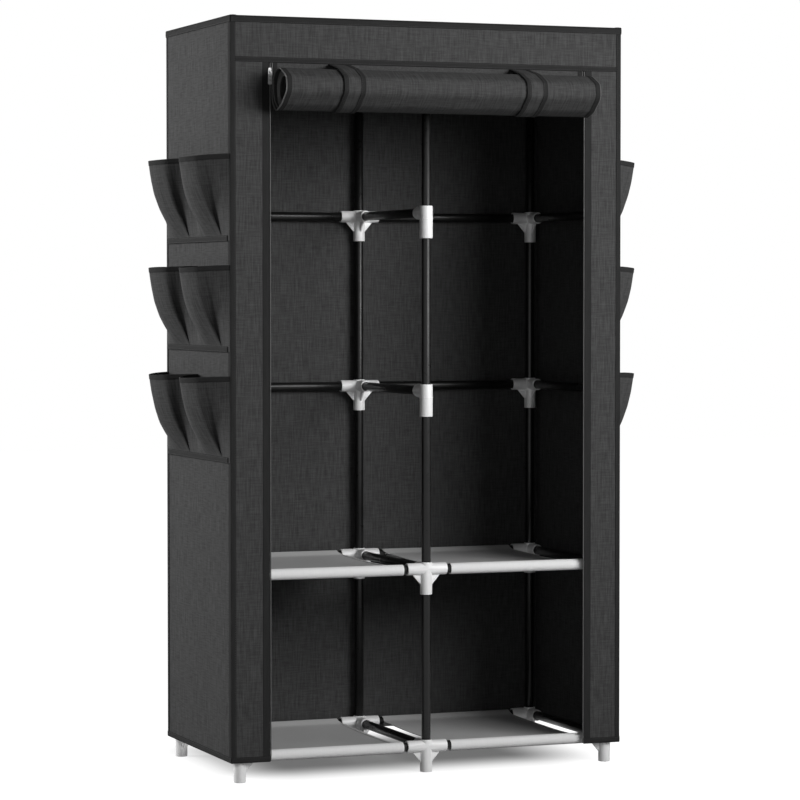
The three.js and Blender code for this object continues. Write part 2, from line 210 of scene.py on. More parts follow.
def tape_material(name, level, rib_pitch, tint):
    """A woven edge tape: fine ribs across it, and painted shade where its edges turn in and along its fold."""
    material, tree, shader = new_material(name, tape_roughness, Specular_IOR_Level=tape_specular)
    weave, threads = woven(tree, tape_patterns)
    parts = node(tree, "SeparateXYZ", {0: weave})
    turns = node(tree, "Math", {0: parts.outputs[1], 1: math.tau / rib_pitch}, operation="MULTIPLY")
    ribs = node(tree, "Math", {0: turns.outputs[0]}, operation="SINE").outputs[0]
    # Painted shade: darker within the turned-in edges and along the fold
    edge = ramp(tree, parts.outputs[2], 0.0, edge_shade_width, -1.0, 1.0)
    fold_shade = ramp(tree, parts.outputs[2], fold_shade_from, fold_shade_to, 0.0, -1.0)
    dark = [(edge, painted_shade_weight), (fold_shade, painted_shade_weight)]
    factor = weighed(tree, [(ribs, rib_weight), *threads, *dark, (1.0, plain_weight)])
    colour = shade_between(tree, factor, tinted(level * tape_dark_share, tint),
                           tinted(level * tape_light_share, tint))
    tree.links.new(colour, shader.inputs["Base Color"])
    bump(tree, shader, weighed(tree, [(ribs, 0.5), (threads[0][0], 0.5)]), tape_relief)
    return material


pale = {"contrast": 0.03, "roughness": 0.8, "relief": 0.10 * MM}
cover_cloth = cloth_material("charcoal_cloth", 0.061, contrast=0.55, roughness=0.9, relief=0.16 * MM,
                             tint=charcoal_tint)
# One shelf cloth in two copies: this darker one is painted shade on the shelf's top and hems, the next is the lit
# front sleeve
shelf_cloth = cloth_material("pale_shelf_cloth", 0.58, **pale)
lit_shelf_cloth = cloth_material("doubled_shelf_cloth", 0.92, **pale)
edge_tape = tape_material("charcoal_edge_tape", 0.026, rib_pitch=1.1 * MM, tint=charcoal_tint)
print("cloth materials:", cover_cloth.name, shelf_cloth.name, lit_shelf_cloth.name, edge_tape.name)

# %% [markdown]
# ## Steel, plastic, nylon and nickel
# The tubes have a black powder coat: smooth, with a faint orange peel. The connectors are satin white
# plastic. The zip is nylon with nickel sliders, and the sewing thread is a shade paler than the cloth.

# %% Hard materials
mottle_cells = 8
roughness_spread = 0.15


def object_coordinates(tree):
    return node(tree, "TexCoord", {}).outputs["Object"]


def coated_material(name, level, spread, cell, roughness, relief, **sockets):
    """A moulded or coated finish: a slight change of shade, and a fine unevenness of the surface."""
    material, tree, shader = new_material(name, roughness, **sockets)
    place = object_coordinates(tree)
    mottle = grain(tree, place, (cell * mottle_cells,) * 3)
    colour = shade_between(tree, mottle, tinted(level * (1 - spread)), tinted(level * (1 + spread)))
    tree.links.new(colour, shader.inputs["Base Color"])
    worn = ramp(tree, mottle, 0.0, 1.0, roughness * (1 - roughness_spread),
                roughness * (1 + roughness_spread))
    tree.links.new(worn, shader.inputs["Roughness"])
    bump(tree, shader, grain(tree, place, (cell,) * 3, 1.0), relief)
    return material


black_steel = coated_material("black_powder_coat", 0.008, spread=0.15, cell=1.6 * MM, roughness=0.32,
                              relief=0.006 * MM, Specular_IOR_Level=0.24)
white_plastic = coated_material("white_plastic", 0.95, spread=0.015, cell=1.2 * MM, roughness=0.42,
                                relief=0.02 * MM, Specular_IOR_Level=0.85)
nylon_coil = coated_material("nylon_coil", 0.085, spread=0.08, cell=0.8 * MM, roughness=0.42,
                             relief=0.03 * MM, Specular_IOR_Level=0.35)
worn_nickel = coated_material("worn_nickel", 0.28, spread=0.10, cell=0.6 * MM, roughness=0.45,
                              relief=0.02 * MM, Metallic=1.0)
sewing_thread = coated_material("sewing_thread", 0.055, spread=0.20, cell=0.5 * MM, roughness=0.7,
                                relief=0.05 * MM, Specular_IOR_Level=0.3)
pale_thread = coated_material("pale_thread", 0.70, spread=0.05, cell=0.5 * MM, roughness=0.7,
                              relief=0.05 * MM)
hard_materials = (black_steel, white_plastic, nylon_coil, worn_nickel, sewing_thread, pale_thread)
print("hard materials:", [material.name for material in hard_materials])

# %% [markdown]
# ## From a grid of points to a piece of cloth
# Blender could add thickness with a Solidify modifier, but cloth that is built as two layers with
# closed rims needs no modifier and can carry the weave attribute on every point. A grid has rows along
# the cloth and columns across it, so lengths along and across it are easy to measure.

# %% Meshes and cloth pieces
cloth_thickness = 0.9 * MM
tape_thickness = 0.6 * MM
cover_body = "frame_and_cover"


def linked(name, data):
    made = bpy.data.objects.new(name, data)
    bpy.context.scene.collection.objects.link(made)
    return made


def add_piece(name, mesh, material, body=cover_body):
    """Links a mesh as a piece and attaches it to its body; a piece without a body is left unattached here."""
    if not mesh.materials:
        mesh.materials.append(material)
    piece = linked(name, mesh)
    if body:
        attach(piece, body)
    return piece


def mesh_of(name, points, faces, sharp_degrees=40):
    mesh = bpy.data.meshes.new(name)
    mesh.from_pydata(np.asarray(points).tolist(), [], [list(face) for face in faces])
    mesh.shade_smooth()
    mesh.set_sharp_from_angle(angle=math.radians(sharp_degrees))
    return mesh


def lengths(grid, axis):
    """Metres from the grid's first row (axis 0) or first column (axis 1)."""
    steps = np.linalg.norm(np.diff(grid, axis=axis), axis=2).mean(axis=1 - axis)
    return np.concatenate([[0], np.cumsum(steps)])


def grid_normals(grid):
    normals = np.cross(np.gradient(grid, axis=1), np.gradient(grid, axis=0))
    return normals / np.linalg.norm(normals, axis=2, keepdims=True)


def grid_faces(row_count, column_count):
    """Faces of both layers and of the rims between them."""
    index = np.arange(row_count * column_count).reshape(row_count, column_count)
    outer = np.stack([index[:-1, :-1], index[:-1, 1:], index[1:, 1:], index[1:, :-1]], -1).reshape(-1, 4)
    layer = row_count * column_count
    ring = np.concatenate([index[0, :-1], index[:-1, -1], index[-1, :0:-1], index[:0:-1, 0]])
    ahead = np.roll(ring, -1)
    rim = np.stack([ahead, ring, ring + layer, ahead + layer], -1)
    return np.concatenate([outer, outer[:, ::-1] + layer, rim])


def cloth_piece(name, grid, material, thickness=cloth_thickness, body=cover_body, along=None):
    """Two layers of a grid with closed rims; `along` gives the cloth's own metres where they differ."""
    grid = np.asarray(grid, float)
    row_count, column_count, _ = grid.shape
    shift = grid_normals(grid) * thickness / 2
    points = np.concatenate([(grid + shift).reshape(-1, 3), (grid - shift).reshape(-1, 3)])
    mesh = mesh_of(name, points, grid_faces(row_count, column_count))
    across = lengths(grid, 1)
    along = lengths(grid, 0) if along is None else np.asarray(along)
    weave = np.zeros((row_count, column_count, 3))
    weave[:, :, 0] = across[None, :]
    weave[:, :, 1] = along[:, None]
    weave[:, :, 2] = np.minimum(across, across[-1] - across)[None, :]
    attribute = mesh.attributes.new("weave", "FLOAT_VECTOR", "POINT")
    attribute.data.foreach_set("vector", np.tile(weave.reshape(-1, 3), (2, 1)).ravel())
    return add_piece(name, mesh, material, body)


def tape_piece(name, grid, body=cover_body, along=None):
    return cloth_piece(name, grid, edge_tape, tape_thickness, body, along)


print("cloth:", round(cloth_thickness / MM, 2), "mm, tape:", round(tape_thickness / MM, 2), "mm")

# %% [markdown]
# ## Flat panels that are not quite flat
# The cover hangs from the top frame and is drawn tight round the posts, so its panels are flat with
# only slow, shallow waves. Each panel is a grid over its rectangle, moved in and out by smooth noise
# that fades to nothing at the seams, where the edge tapes hold it straight.

# %% The cover's panels
def flat_grid(corner, across, along, step):
    corner, across, along = (np.array(vector, float) for vector in (corner, across, along))
    s = np.linspace(0, 1, max(2, round(np.linalg.norm(across) / step) + 1))[None, :, None]
    t = np.linspace(0, 1, max(2, round(np.linalg.norm(along) / step) + 1))[:, None, None]
    return corner + across * s + along * t


wave_width = 150 * MM
wave_length = 550 * MM
wave_fade = 50 * MM
quick_share = 0.25
quick_seed = 7.3


def rippled(grid, out, depth, seed):
    """Moves a grid in and out along `out` by smooth noise that fades away at its edges."""
    across, along = lengths(grid, 1), lengths(grid, 0)
    moved = grid.copy()
    for r, t in enumerate(along):
        for c, s in enumerate(across):
            edge = min(s, across[-1] - s, t, along[-1] - t)
            slow = noise.noise(Vector((s / wave_width, t / wave_length, seed)))
            quick = noise.noise(Vector((s * 3 / wave_width, t * 2 / wave_length, seed + quick_seed)))
            moved[r, c] += np.array(out) * depth * (slow + quick * quick_share) * min(1, edge / wave_fade)
    return moved


panel_step = 22 * MM
panel_wave = 2.2 * MM
half_cloth = cad_cloth / 2
width, depth, height = (side_x * 2, 0, 0), (0, back_y - front_y, 0), (0, 0, roof_z - hem_z)
stile_width, stile_height = (side_x - opening_x, 0, 0), (0, 0, header_z - hem_z)
header_height = (0, 0, roof_z - header_z)
to_left, to_right, to_front, to_rear, to_top = (-1, 0, 0), (1, 0, 0), (0, -1, 0), (0, 1, 0), (0, 0, 1)

# Corner, across, along, the way it faces, its share of the wave, and its node
panel_table = {
    "panel_back": ((-side_x, back_y, hem_z), width, height, to_rear, 1, "cover_back_and_top"),
    "panel_roof": ((-side_x, front_y, roof_z), width, depth, to_top, 1, "cover_back_and_top"),
    "panel_left": ((-side_x, front_y, hem_z), depth, height, to_left, 1, "cover_left_side"),
    "panel_right": ((side_x, front_y, hem_z), depth, height, to_right, 1, "cover_right_side"),
    "panel_header": ((-side_x, front_y, header_z), width, header_height, to_front, 0.5, "cover_front_frame"),
    "stile_left": ((-side_x, front_y, hem_z), stile_width, stile_height, to_front, 0.5,
                   "cover_front_frame"),
    "stile_right": ((opening_x, front_y, hem_z), stile_width, stile_height, to_front, 0.5,
                    "cover_front_frame"),
}
panels = {}
for count, (name, (corner, across, along, out, wave_share, node_name)) in enumerate(panel_table.items()):
    # The grid lies in the middle of the solid's own thickness
    corner = np.array(corner) - np.array(out) * half_cloth
    grid = rippled(flat_grid(corner, across, along, panel_step), out, panel_wave * wave_share, count + 1.5)
    panels[name] = cloth_piece(name, grid, cover_cloth)
    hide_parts(node_name)
print("panels:", {name: len(piece.data.polygons) for name, piece in panels.items()})

# %% [markdown]
# ## Edge tapes folded round the seams
# Every seam and hem of the cover is bound with a dark tape, folded round the edge and sewn through. One
# section serves all of them: down one face, round the edge, and along the other face. At a corner of
# the cover the two faces stand square to each other; at a hem they are the two sides of one cloth.

# %% A tape's section and sweep
arm_steps = 6
arc_steps = 4
pillow = 0.35 * MM
tape_step = 25 * MM
arm_shares = [i / arm_steps for i in range(arm_steps + 1)]


def wrap_section(arm_1, out_1, arm_2, out_2, width_1, width_2, lift):
    """Offsets across a folded tape: each arm runs from the edge over a face that looks `out`."""
    arm_1, out_1, arm_2, out_2 = (Vector(vector) for vector in (arm_1, out_1, arm_2, out_2))
    past_edge = -(arm_1 + arm_2).normalized()
    shares = [i / arm_steps for i in range(arm_steps, 0, -1)]
    rise = [lift + pillow * math.sin(math.pi * share) for share in shares]
    points = [arm_1 * width_1 * share + out_1 * up for share, up in zip(shares, rise)]
    for begin, end in ((out_1, past_edge), (past_edge, out_2)):
        points += [begin.slerp(end, i / arc_steps) * lift for i in range(arc_steps)]
    points.append(out_2 * lift)
    points += [arm_2 * width_2 * share + out_2 * up for share, up in zip(shares[::-1], rise[::-1])]
    return np.array(points)


def swept(section, start, end):
    start, end = np.array(start, float), np.array(end, float)
    count = max(2, round(np.linalg.norm(end - start) / tape_step) + 1)
    shares = np.linspace(0, 1, count)[:, None, None]
    return start + (end - start) * shares + section[None, :, :]


tapes = {name: [] for name in panels}


def add_tape(name, panel, section, start, end):
    tapes[panel].append(tape_piece(name, swept(section, start, end)))

# %% Corner, roof and hem tapes
corner_tape = 10.5 * MM
corner_tape_side = {"front": 18 * MM, "back": 12 * MM}
roof_tape = 13 * MM
hem_tape = 11 * MM
tape_clear = 0.15 * MM
layer_clear = 0.05 * MM
face_lift = tape_clear + tape_thickness / 2
layer_lift = tape_thickness + layer_clear
hem_lift = half_cloth + face_lift

sides = {"left": -1, "right": 1}
ends = {"front": -1, "back": 1}
end_y = {"front": front_y, "back": back_y}
x_axis, y_axis, z_axis = np.eye(3)


def roof_section(way, layers):
    """A tape over an edge of the roof that faces `way`; it lies over so many other tapes."""
    return wrap_section(-z_axis, way, -way, z_axis, roof_tape, roof_tape, face_lift + layer_lift * layers)


def hem_section(way, layers):
    """A tape folded under a lower edge; it lies over so many other tapes."""
    return wrap_section(z_axis, way, z_axis, -way, hem_tape, hem_tape, hem_lift + layer_lift * layers)


for side, sx in sides.items():
    x, way = sx * side_x, sx * x_axis
    for end, sy in ends.items():
        y = end_y[end]
        section = wrap_section(-way, sy * y_axis, -sy * y_axis, way, corner_tape, corner_tape_side[end],
                               face_lift)
        add_tape(f"corner_tape_{end}_{side}", f"panel_{side}", section, (x, y, hem_z), (x, y, roof_z))
    ends_y = (front_y, back_y)
    add_tape(f"roof_tape_{side}", "panel_roof", roof_section(way, 2), *((x, y, roof_z) for y in ends_y))
    x -= sx * half_cloth
    add_tape(f"hem_tape_{side}", f"panel_{side}", hem_section(way, 1), *((x, y, hem_z) for y in ends_y))

hems = {"back": {"hem_tape_back": ("panel_back", -side_x, side_x)},
        "front": {"hem_tape_stile_left": ("stile_left", -side_x, -opening_x),
                  "hem_tape_stile_right": ("stile_right", opening_x, side_x)}}
for end, sy in ends.items():
    y, way = end_y[end], sy * y_axis
    add_tape(f"roof_tape_{end}", "panel_roof", roof_section(way, 1), (-side_x, y, roof_z),
             (side_x, y, roof_z))
    y -= sy * half_cloth
    for name, (panel, x_1, x_2) in hems[end].items():
        add_tape(name, panel, hem_section(way, 1), (x_1, y, hem_z), (x_2, y, hem_z))

# The header's tape lies on its face, and folds under it to the inside where the door opening is
y = front_y + half_cloth
flat_section = np.array([z_axis * hem_tape * share - y_axis * (hem_lift + pillow * math.sin(math.pi * share))
                         for share in arm_shares])
add_tape("header_tape_opening", "panel_header", hem_section(-y_axis, 0), (-opening_x, y, header_z),
         (opening_x, y, header_z))
for side, sx in sides.items():
    inner, outer = sorted((sx * opening_x, sx * (side_x - corner_tape)))
    add_tape(f"header_tape_{side}", "panel_header", flat_section, (inner, y, header_z), (outer, y, header_z))
print("tapes:", sum(len(pieces) for pieces in tapes.values()))

# %% [markdown]
# ## Stitches as small raised threads
# A seam shows its stitches when it is seen from close by. A bump map would fade in a baked model, so
# each stitch is a tiny hump of thread. All the stitches of one body are one mesh, built from rows of
# points with the direction in which the cloth faces.

# %% Stitches
stitch_pitch = 5 * MM
stitch_length_share = 0.62
stitch_top_share = 0.6
stitch_width = 0.55 * MM
stitch_rise = 0.32 * MM
stitch_corners = 8
stitch_faces = np.array([[0, 3, 2, 1], [4, 5, 6, 7], [0, 1, 5, 4], [1, 2, 6, 5], [2, 3, 7, 6], [3, 0, 4, 7]])


def resampled(points, at):
    points = np.asarray(points, float)
    marks = np.concatenate([[0], np.cumsum(np.linalg.norm(np.diff(points, axis=0), axis=1))])
    return np.stack([np.interp(at, marks, points[:, k]) for k in range(3)], 1)


def unit(vectors):
    return vectors / np.linalg.norm(vectors, axis=-1, keepdims=True)


def stitch_row(points, out):
    """Corner points of the stitches along a line, eight to a stitch."""
    points = np.asarray(points, float)
    total = np.linalg.norm(np.diff(points, axis=0), axis=1).sum()
    at = (np.arange(int(total / stitch_pitch)) + 0.5) * stitch_pitch
    place = resampled(points, at)
    ahead = unit(resampled(points, at + stitch_pitch / 4) - resampled(points, at - stitch_pitch / 4))
    out = np.broadcast_to(np.asarray(out, float), points.shape)
    even = np.linspace(0, total, len(points))
    facing = unit(np.stack([np.interp(at, even, out[:, k]) for k in range(3)], 1))
    beside = unit(np.cross(ahead, facing))
    corners = []
    for rise, reach in ((-stitch_rise / 2, 1), (stitch_rise, stitch_top_share)):
        for a, b in ((-1, -1), (1, -1), (1, 1), (-1, 1)):
            long = ahead * a * stitch_pitch * stitch_length_share / 2 * reach
            corners.append(place + long + beside * b * stitch_width / 2 + facing * rise)
    return np.stack(corners, 1).reshape(-1, 3)


def add_stitches(name, stitch_rows, body=cover_body, thread=sewing_thread):
    points = np.concatenate(stitch_rows)
    starts = np.arange(0, len(points), stitch_corners)[:, None, None]
    faces = (starts + stitch_faces[None]).reshape(-1, 4)
    return add_piece(name, mesh_of(name, points, faces, sharp_degrees=20), thread, body)


tape_top = face_lift + tape_thickness / 2
stitch_inset = 1.8 * MM
hem_seam_z = hem_z + hem_tape - stitch_inset
roof_seam_z = roof_z - roof_tape + stitch_inset
low_z, top_z = hem_z + hem_tape, roof_z - roof_tape
seams = []


def add_seam(start, end, out):
    seams.append(stitch_row([start, end], out))


for side, sx in sides.items():
    for end, sy in ends.items():
        x, y = sx * side_x, end_y[end]
        in_x = x - sx * (corner_tape - stitch_inset)
        in_y = y - sy * (corner_tape_side[end] - stitch_inset)
        face_x, face_y = x + sx * tape_top, y + sy * tape_top
        add_seam((in_x, face_y, low_z), (in_x, face_y, top_z), (0, sy, 0))
        add_seam((face_x, in_y, low_z), (face_x, in_y, top_z), (sx, 0, 0))
    for layers, z in ((1, hem_seam_z), (2, roof_seam_z)):
        x = sx * (side_x + tape_top + layer_lift * layers)
        add_seam((x, front_y, z), (x, back_y, z), (sx, 0, 0))
    y = front_y - tape_top - layer_lift
    add_seam((sx * opening_x, y, hem_seam_z), (sx * side_x, y, hem_seam_z), (0, -1, 0))
for end, sy in ends.items():
    y = end_y[end] + sy * (tape_top + layer_lift)
    add_seam((-side_x, y, roof_seam_z), (side_x, y, roof_seam_z), (0, sy, 0))
y = back_y + tape_top + layer_lift
add_seam((-side_x, y, hem_seam_z), (side_x, y, hem_seam_z), (0, 1, 0))
x, y = side_x - corner_tape, front_y - tape_top
for z in (header_z + stitch_inset, header_z + hem_tape - stitch_inset):
    add_seam((-x, y, z), (x, y, z), (0, -1, 0))
add_stitches("cover_stitches", seams)
print("stitches on the cover:", sum(len(row) for row in seams) // stitch_corners)

# %% [markdown]
# ## Side pockets with pleats
# Each row of pockets is one long cloth, sewn to the side panel at its two ends, at a seam in the middle
# and along its bottom. The cloth is wider than the panel: pleats at the bottom take the extra width up,
# and it stands away from the panel towards the mouth. A table of shares describes one half of a
# lobe at several heights: where the wall's crease and the lobe's corner are, and how far out they stand.
# The pleat is at each lobe's front corner, and the wall behind it is straight.

# %% Pocket shape
pocket_band = 12.5 * MM
mouth_band = 10 * MM
mouth_inside_band = 8 * MM
pocket_stand = 1.3 * MM
mouth_droop = {"front": 5.0 * MM, "rear": 3.5 * MM}
wall_fold = 1.6 * MM
wall_fold_width = 22 * MM
wall_fold_length = 75 * MM
wall_fold_pace, wall_fold_low, wall_fold_loss = 1.15, 1.2, 0.8
half_lobe_steps = (6, 4, 4, 5)
lobe_columns = sum(half_lobe_steps) * 2
swell_rows = 30
crown_share = 0.7
rear_slack_share = 0.19
wall_share = 0.66

# Rise, then the crease's place and stand, the corner's place and stand, and the middle's stand
lobe_shares = np.array([
    [0.00, 0.250, 0.010, 0.232, 0.020, 0.020],
    [0.10, 0.248, 0.062, 0.231, 0.122, 0.230],
    [0.23, 0.241, 0.145, 0.230, 0.258, 0.460],
    [0.37, 0.230, 0.240, 0.229, 0.418, 0.640],
    [0.56, 0.208, 0.355, 0.229, 0.580, 0.800],
    [0.75, 0.182, 0.435, 0.229, 0.692, 0.900],
    [0.92, 0.158, 0.473, 0.228, 0.756, 0.965],
    [1.00, 0.150, 0.485, 0.228, 0.780, 0.985],
])


def lobe_half(rise, slack, pleated):
    """Places and stands from a seam to a lobe's middle, as shares of its width and of the bulge."""
    crease, crease_stand, corner, corner_stand, crown = (
        np.interp(rise, lobe_shares[:, 0], lobe_shares[:, k]) for k in range(1, 6))
    if not pleated:
        crease = min(crease, corner * wall_share)
        crease_stand = max(crease_stand, corner_stand * wall_share)
    edge = corner_stand * (1 - slack)
    marks = [(0, 0), (crease, crease_stand * (1 - slack)), (corner, edge),
             ((corner + 0.5) / 2, edge + (crown - edge) * crown_share), (0.5, crown)]
    half = [marks[0]]
    for (place_1, stand_1), (place_2, stand_2), steps in zip(marks, marks[1:], half_lobe_steps):
        for share in (i / steps for i in range(1, steps + 1)):
            half.append((place_1 + (place_2 - place_1) * share, stand_1 + (stand_2 - stand_1) * share))
    return half


def lobe_row(rise):
    """One whole lobe at a rise; its rear corner hangs slacker than its front one."""
    rear = [(1 - place, stand) for place, stand in lobe_half(rise, rear_slack_share * rise, False)[-2::-1]]
    return np.array(lobe_half(rise, 0, True) + rear)


def smoothed(grid, held):
    """Softens a grid's creases; the columns in `held`, and the first and last rows, stay where they are."""
    soft = grid.copy()
    soft[:, 1:-1] = (grid[:, :-2] + 2 * grid[:, 1:-1] + grid[:, 2:]) / 4
    soft[1:-1] = (soft[:-2] + 2 * soft[1:-1] + soft[2:]) / 4
    soft[:, held] = grid[:, held]
    return soft


def pocket_grid(side, number):
    """The pocket cloth from its bottom seam up to its mouth, from the front seam to the rear one."""
    low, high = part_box(f"side_pocket_{side}_{number}")
    sx = sides[side]
    bulge = high.x - low.x - cad_cloth
    span = high.y - low.y
    base_x = sx * (side_x + pocket_stand)
    swelling = []
    for rise in np.linspace(0, 1, swell_rows + 1):
        row = []
        for lobe, end in enumerate(("front", "rear")):
            for place, stand in lobe_row(rise)[1 if lobe else 0:]:
                droop = mouth_droop[end] * stand ** 2
                tall = high.z - low.z - pocket_band - droop
                row.append((base_x + sx * bulge * stand, low.y + span * (lobe + place) / 2,
                            low.z + pocket_band + tall * rise))
        swelling.append(row)
    swelling = smoothed(np.array(swelling), [0, lobe_columns, lobe_columns * 2])
    return creased(swelling, sx, number), sx, low, high


def creased(grid, sx, number):
    """Small soft folds in the walls, strongest in the lower half and gone at the seams."""
    row_count, column_count, _ = grid.shape
    normals = grid_normals(grid)
    moved = grid.copy()
    for r in range(row_count):
        rise = r / (row_count - 1)
        hump = math.sin(math.pi * min(1, rise * wall_fold_pace)) ** 0.5
        strength = wall_fold * hump * (wall_fold_low - rise * wall_fold_loss)
        for c in range(column_count):
            seam = min(c, abs(c - column_count // 2), column_count - 1 - c) / half_lobe_steps[0]
            _, y, z = grid[r, c]
            place = Vector((y / wall_fold_width, z / wall_fold_length, number * 3.1 + sx))
            moved[r, c] += normals[r, c] * strength * noise.noise(place) * min(1, seam)
    return moved

# %% Pocket pieces
def between_rows(values, at):
    """Rows of a grid at places between its own rows."""
    at = np.clip(np.asarray(at, float), 0, len(values) - 1)
    below = np.minimum(at.astype(int), len(values) - 2)
    part = (at - below)[:, None, None]
    return values[below] * (1 - part) + values[below + 1] * part


mouth_clear = 1 * MM
outside_steps, inside_steps = 6, 5


def mouth_tape_grid(grid, sx, tall):
    """A tape folded over the mouth: down the outside, and a little less down the inside."""
    normals = grid_normals(grid)
    normals *= np.sign(normals[:, :, 0].mean()) * sx
    lift = cloth_thickness / 2 + face_lift
    outside = np.linspace(mouth_band, mouth_clear, outside_steps)
    inside = np.linspace(mouth_clear, mouth_inside_band, inside_steps)
    turns = np.linspace(0, math.pi, inside_steps)
    depths = np.concatenate([outside, turns * 0, inside])
    offs = np.concatenate([outside * 0 + lift, lift * np.cos(turns), inside * 0 - lift])
    ups = np.concatenate([outside * 0, lift * np.sin(turns), inside * 0])
    at = (len(grid) - 1) * (1 - depths / tall)
    base = between_rows(grid, at) + between_rows(normals, at) * offs[:, None, None]
    return (base + z_axis * ups[:, None, None]).transpose(1, 0, 2)


band_clear = 1.2 * MM
band_steps = 20
under_clear = 1 * MM
pockets, pocket_seams = [], []
for side in sides:
    for number in (1, 2, 3):
        grid, sx, low, high = pocket_grid(side, number)
        flat = grid[0].copy()
        flat[:, 0] = sx * (side_x + pocket_stand)
        flat[:, 1] = np.linspace(low.y, high.y, len(flat))
        under = [flat - z_axis * (pocket_band - under_clear) * share for share in (1, 0.5)]
        pocket = cloth_piece(f"side_pocket_cloth_{side}_{number}", np.concatenate([under, grid]), cover_cloth)
        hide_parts(f"side_pocket_{side}_{number}")
        mouth = tape_piece(f"pocket_mouth_tape_{side}_{number}",
                           mouth_tape_grid(grid, sx, high.z - low.z - pocket_band))
        band_x = sx * (side_x + pocket_stand + cloth_thickness / 2 + face_lift + band_clear)
        y_1, y_2 = low.y + corner_tape, high.y - corner_tape
        band = [[(band_x + sx * pillow * math.sin(math.pi * share), y, low.z + pocket_band * share)
                 for share in arm_shares] for y in np.linspace(y_1, y_2, band_steps)]
        bottom = tape_piece(f"pocket_bottom_tape_{side}_{number}", band)
        pockets.append((pocket, [mouth, bottom], side))
        x = band_x + sx * (tape_thickness / 2)
        for z in (low.z + stitch_inset, low.z + pocket_band - stitch_inset):
            pocket_seams.append(stitch_row([(x, y_1, z), (x, y_2, z)], (sx, 0, 0)))
        valley = grid[:, lobe_columns] + x_axis * sx * cloth_thickness / 2
        pocket_seams.append(stitch_row(valley, (sx, 0, 0)))
add_stitches("pocket_stitches", pocket_seams)
print("pockets:", len(pockets))

# %% [markdown]
# ## The rolled door
# The door is one cloth, rolled up outwards from its hem. The roll is a true spiral of that cloth, so
# its end shows the turns. It rides on the body that slides down. The flap between the header and the
# roll belongs to no body, and its weave runs over the length the door has when it hangs down.

# %% The spiral and the flap
roll_radius = 48 * MM
roll_core = 28 * MM
roll_turns = 6.5
roll_drop = 60 * MM
turn_rows = 40
roll_y = front_y + cad_cloth - roll_radius
roll_z = header_z - roll_drop
roll_half = (roll_high.x - roll_low.x) / 2
door_y = roll_y + roll_radius - half_cloth
unrolled = frame["joints"][0]["range_m"][1]
roll_inset = 2 * MM
roll_uneven = 0.5 * MM
roll_wrinkle = 0.5 * MM
wrinkle_width = 18 * MM
end_recess = 11 * MM
end_wander = 1.8 * MM
recess_from, recess_over = 0.9, 0.5
roll_columns = 130
flap_rows, flap_columns = 30, 40
corner_softness = 6
outline_steps = 90

# Forward and up from the roll's middle, in radii: a soft roll lies flat above, upright in front, slack below
roll_corners = np.array([(-1.0, 0.0), (-0.95, -0.55), (-0.45, -1.0), (0.34, -0.72), (1.10, -0.12),
                         (1.04, 0.52), (0.05, 0.99), (-0.55, 0.88), (-0.95, 0.45)])


def softened_outline(corners, softness):
    """An outline's distance from its middle at each degree, with its corners softened by so many degrees."""
    ahead = np.roll(corners, -1, axis=0)
    stretches = [np.linspace(a, b, outline_steps, endpoint=False) for a, b in zip(corners, ahead)]
    points = np.concatenate(stretches)
    degrees = np.degrees(np.arctan2(-points[:, 1], -points[:, 0])) % 360
    order = np.argsort(degrees)
    distance = np.interp(np.arange(360), degrees[order], np.hypot(*points[order].T), period=360)
    spread = np.arange(-3 * softness, 3 * softness + 1)
    weights = np.exp(-(spread / softness) ** 2 / 2)
    soft = sum(np.roll(distance, shift) * weight for shift, weight in zip(spread, weights))
    return np.append(soft, soft[0]) / soft[0]


roll_outline = softened_outline(roll_corners, corner_softness)


def around_roll(radius, turn):
    """Y and Z at a radius; no turn is at the roll's back, and a positive one leads under to its front."""
    radius *= np.interp(turn % 1 * 360, np.arange(361), roll_outline)
    angle = turn * math.tau
    return roll_y + radius * math.cos(angle), roll_z - radius * math.sin(angle)


def settled(turn):
    """Grows from 0 to 1 in the first quarter turn, so that the roll leaves the flap smoothly."""
    return min(1, turn * 4)


def spiral_radius(turn):
    outer, inner = roll_radius - half_cloth, roll_core + half_cloth
    uneven = roll_uneven * noise.noise(Vector((turn * 1.7, 0, 4.2))) * settled(turn)
    return outer + (inner - outer) * turn / roll_turns + uneven


def spiral_end(turn, sx):
    """How far the cloth reaches at a turn: the inner turns lie back from the outer one, a little unevenly."""
    recess = end_recess * min(1, max(0, turn - recess_from) / recess_over)
    wander = end_wander * noise.noise(Vector((turn * 0.9, sx * 2.3, 1.1)))
    return sx * (roll_half - roll_inset - recess + wander)


def roll_point(x, turn):
    """A point of the rolled cloth: fine wrinkles run round the roll."""
    wrinkle = roll_wrinkle * noise.noise(Vector((x / wrinkle_width, turn * 1.5, 2.7))) * settled(turn)
    return x, *around_roll(spiral_radius(turn) + wrinkle, turn)


turns = np.linspace(0, roll_turns, round(roll_turns * turn_rows) + 1)
spiral = np.array([[roll_point(x, turn)
                    for x in np.linspace(spiral_end(turn, -1), spiral_end(turn, 1), roll_columns)]
                   for turn in turns])
door_roll = cloth_piece("door_roll_cloth", spiral, cover_cloth, body="door_roll",
                        along=lengths(spiral, 0) + roll_drop)
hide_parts("rolled_door")

flap_top = header_z - hem_lift
flap_half = roll_half - roll_inset
flap_shares = np.linspace(0, 1, flap_rows)
flap_z = flap_top + (roll_z - flap_top) * flap_shares
flap = [[(x, door_y, z) for x in np.linspace(-flap_half, flap_half, flap_columns)] for z in flap_z]
flap_stretch = unrolled + flap_top - roll_z
flap_along = flap_stretch * flap_shares ** 2 * (3 - 2 * flap_shares)
door_flap = cloth_piece("door_flap", flap, cover_cloth, body=None, along=flap_along)
print("rolled cloth length", round(float(lengths(spiral, 0)[-1]), 3), "m")
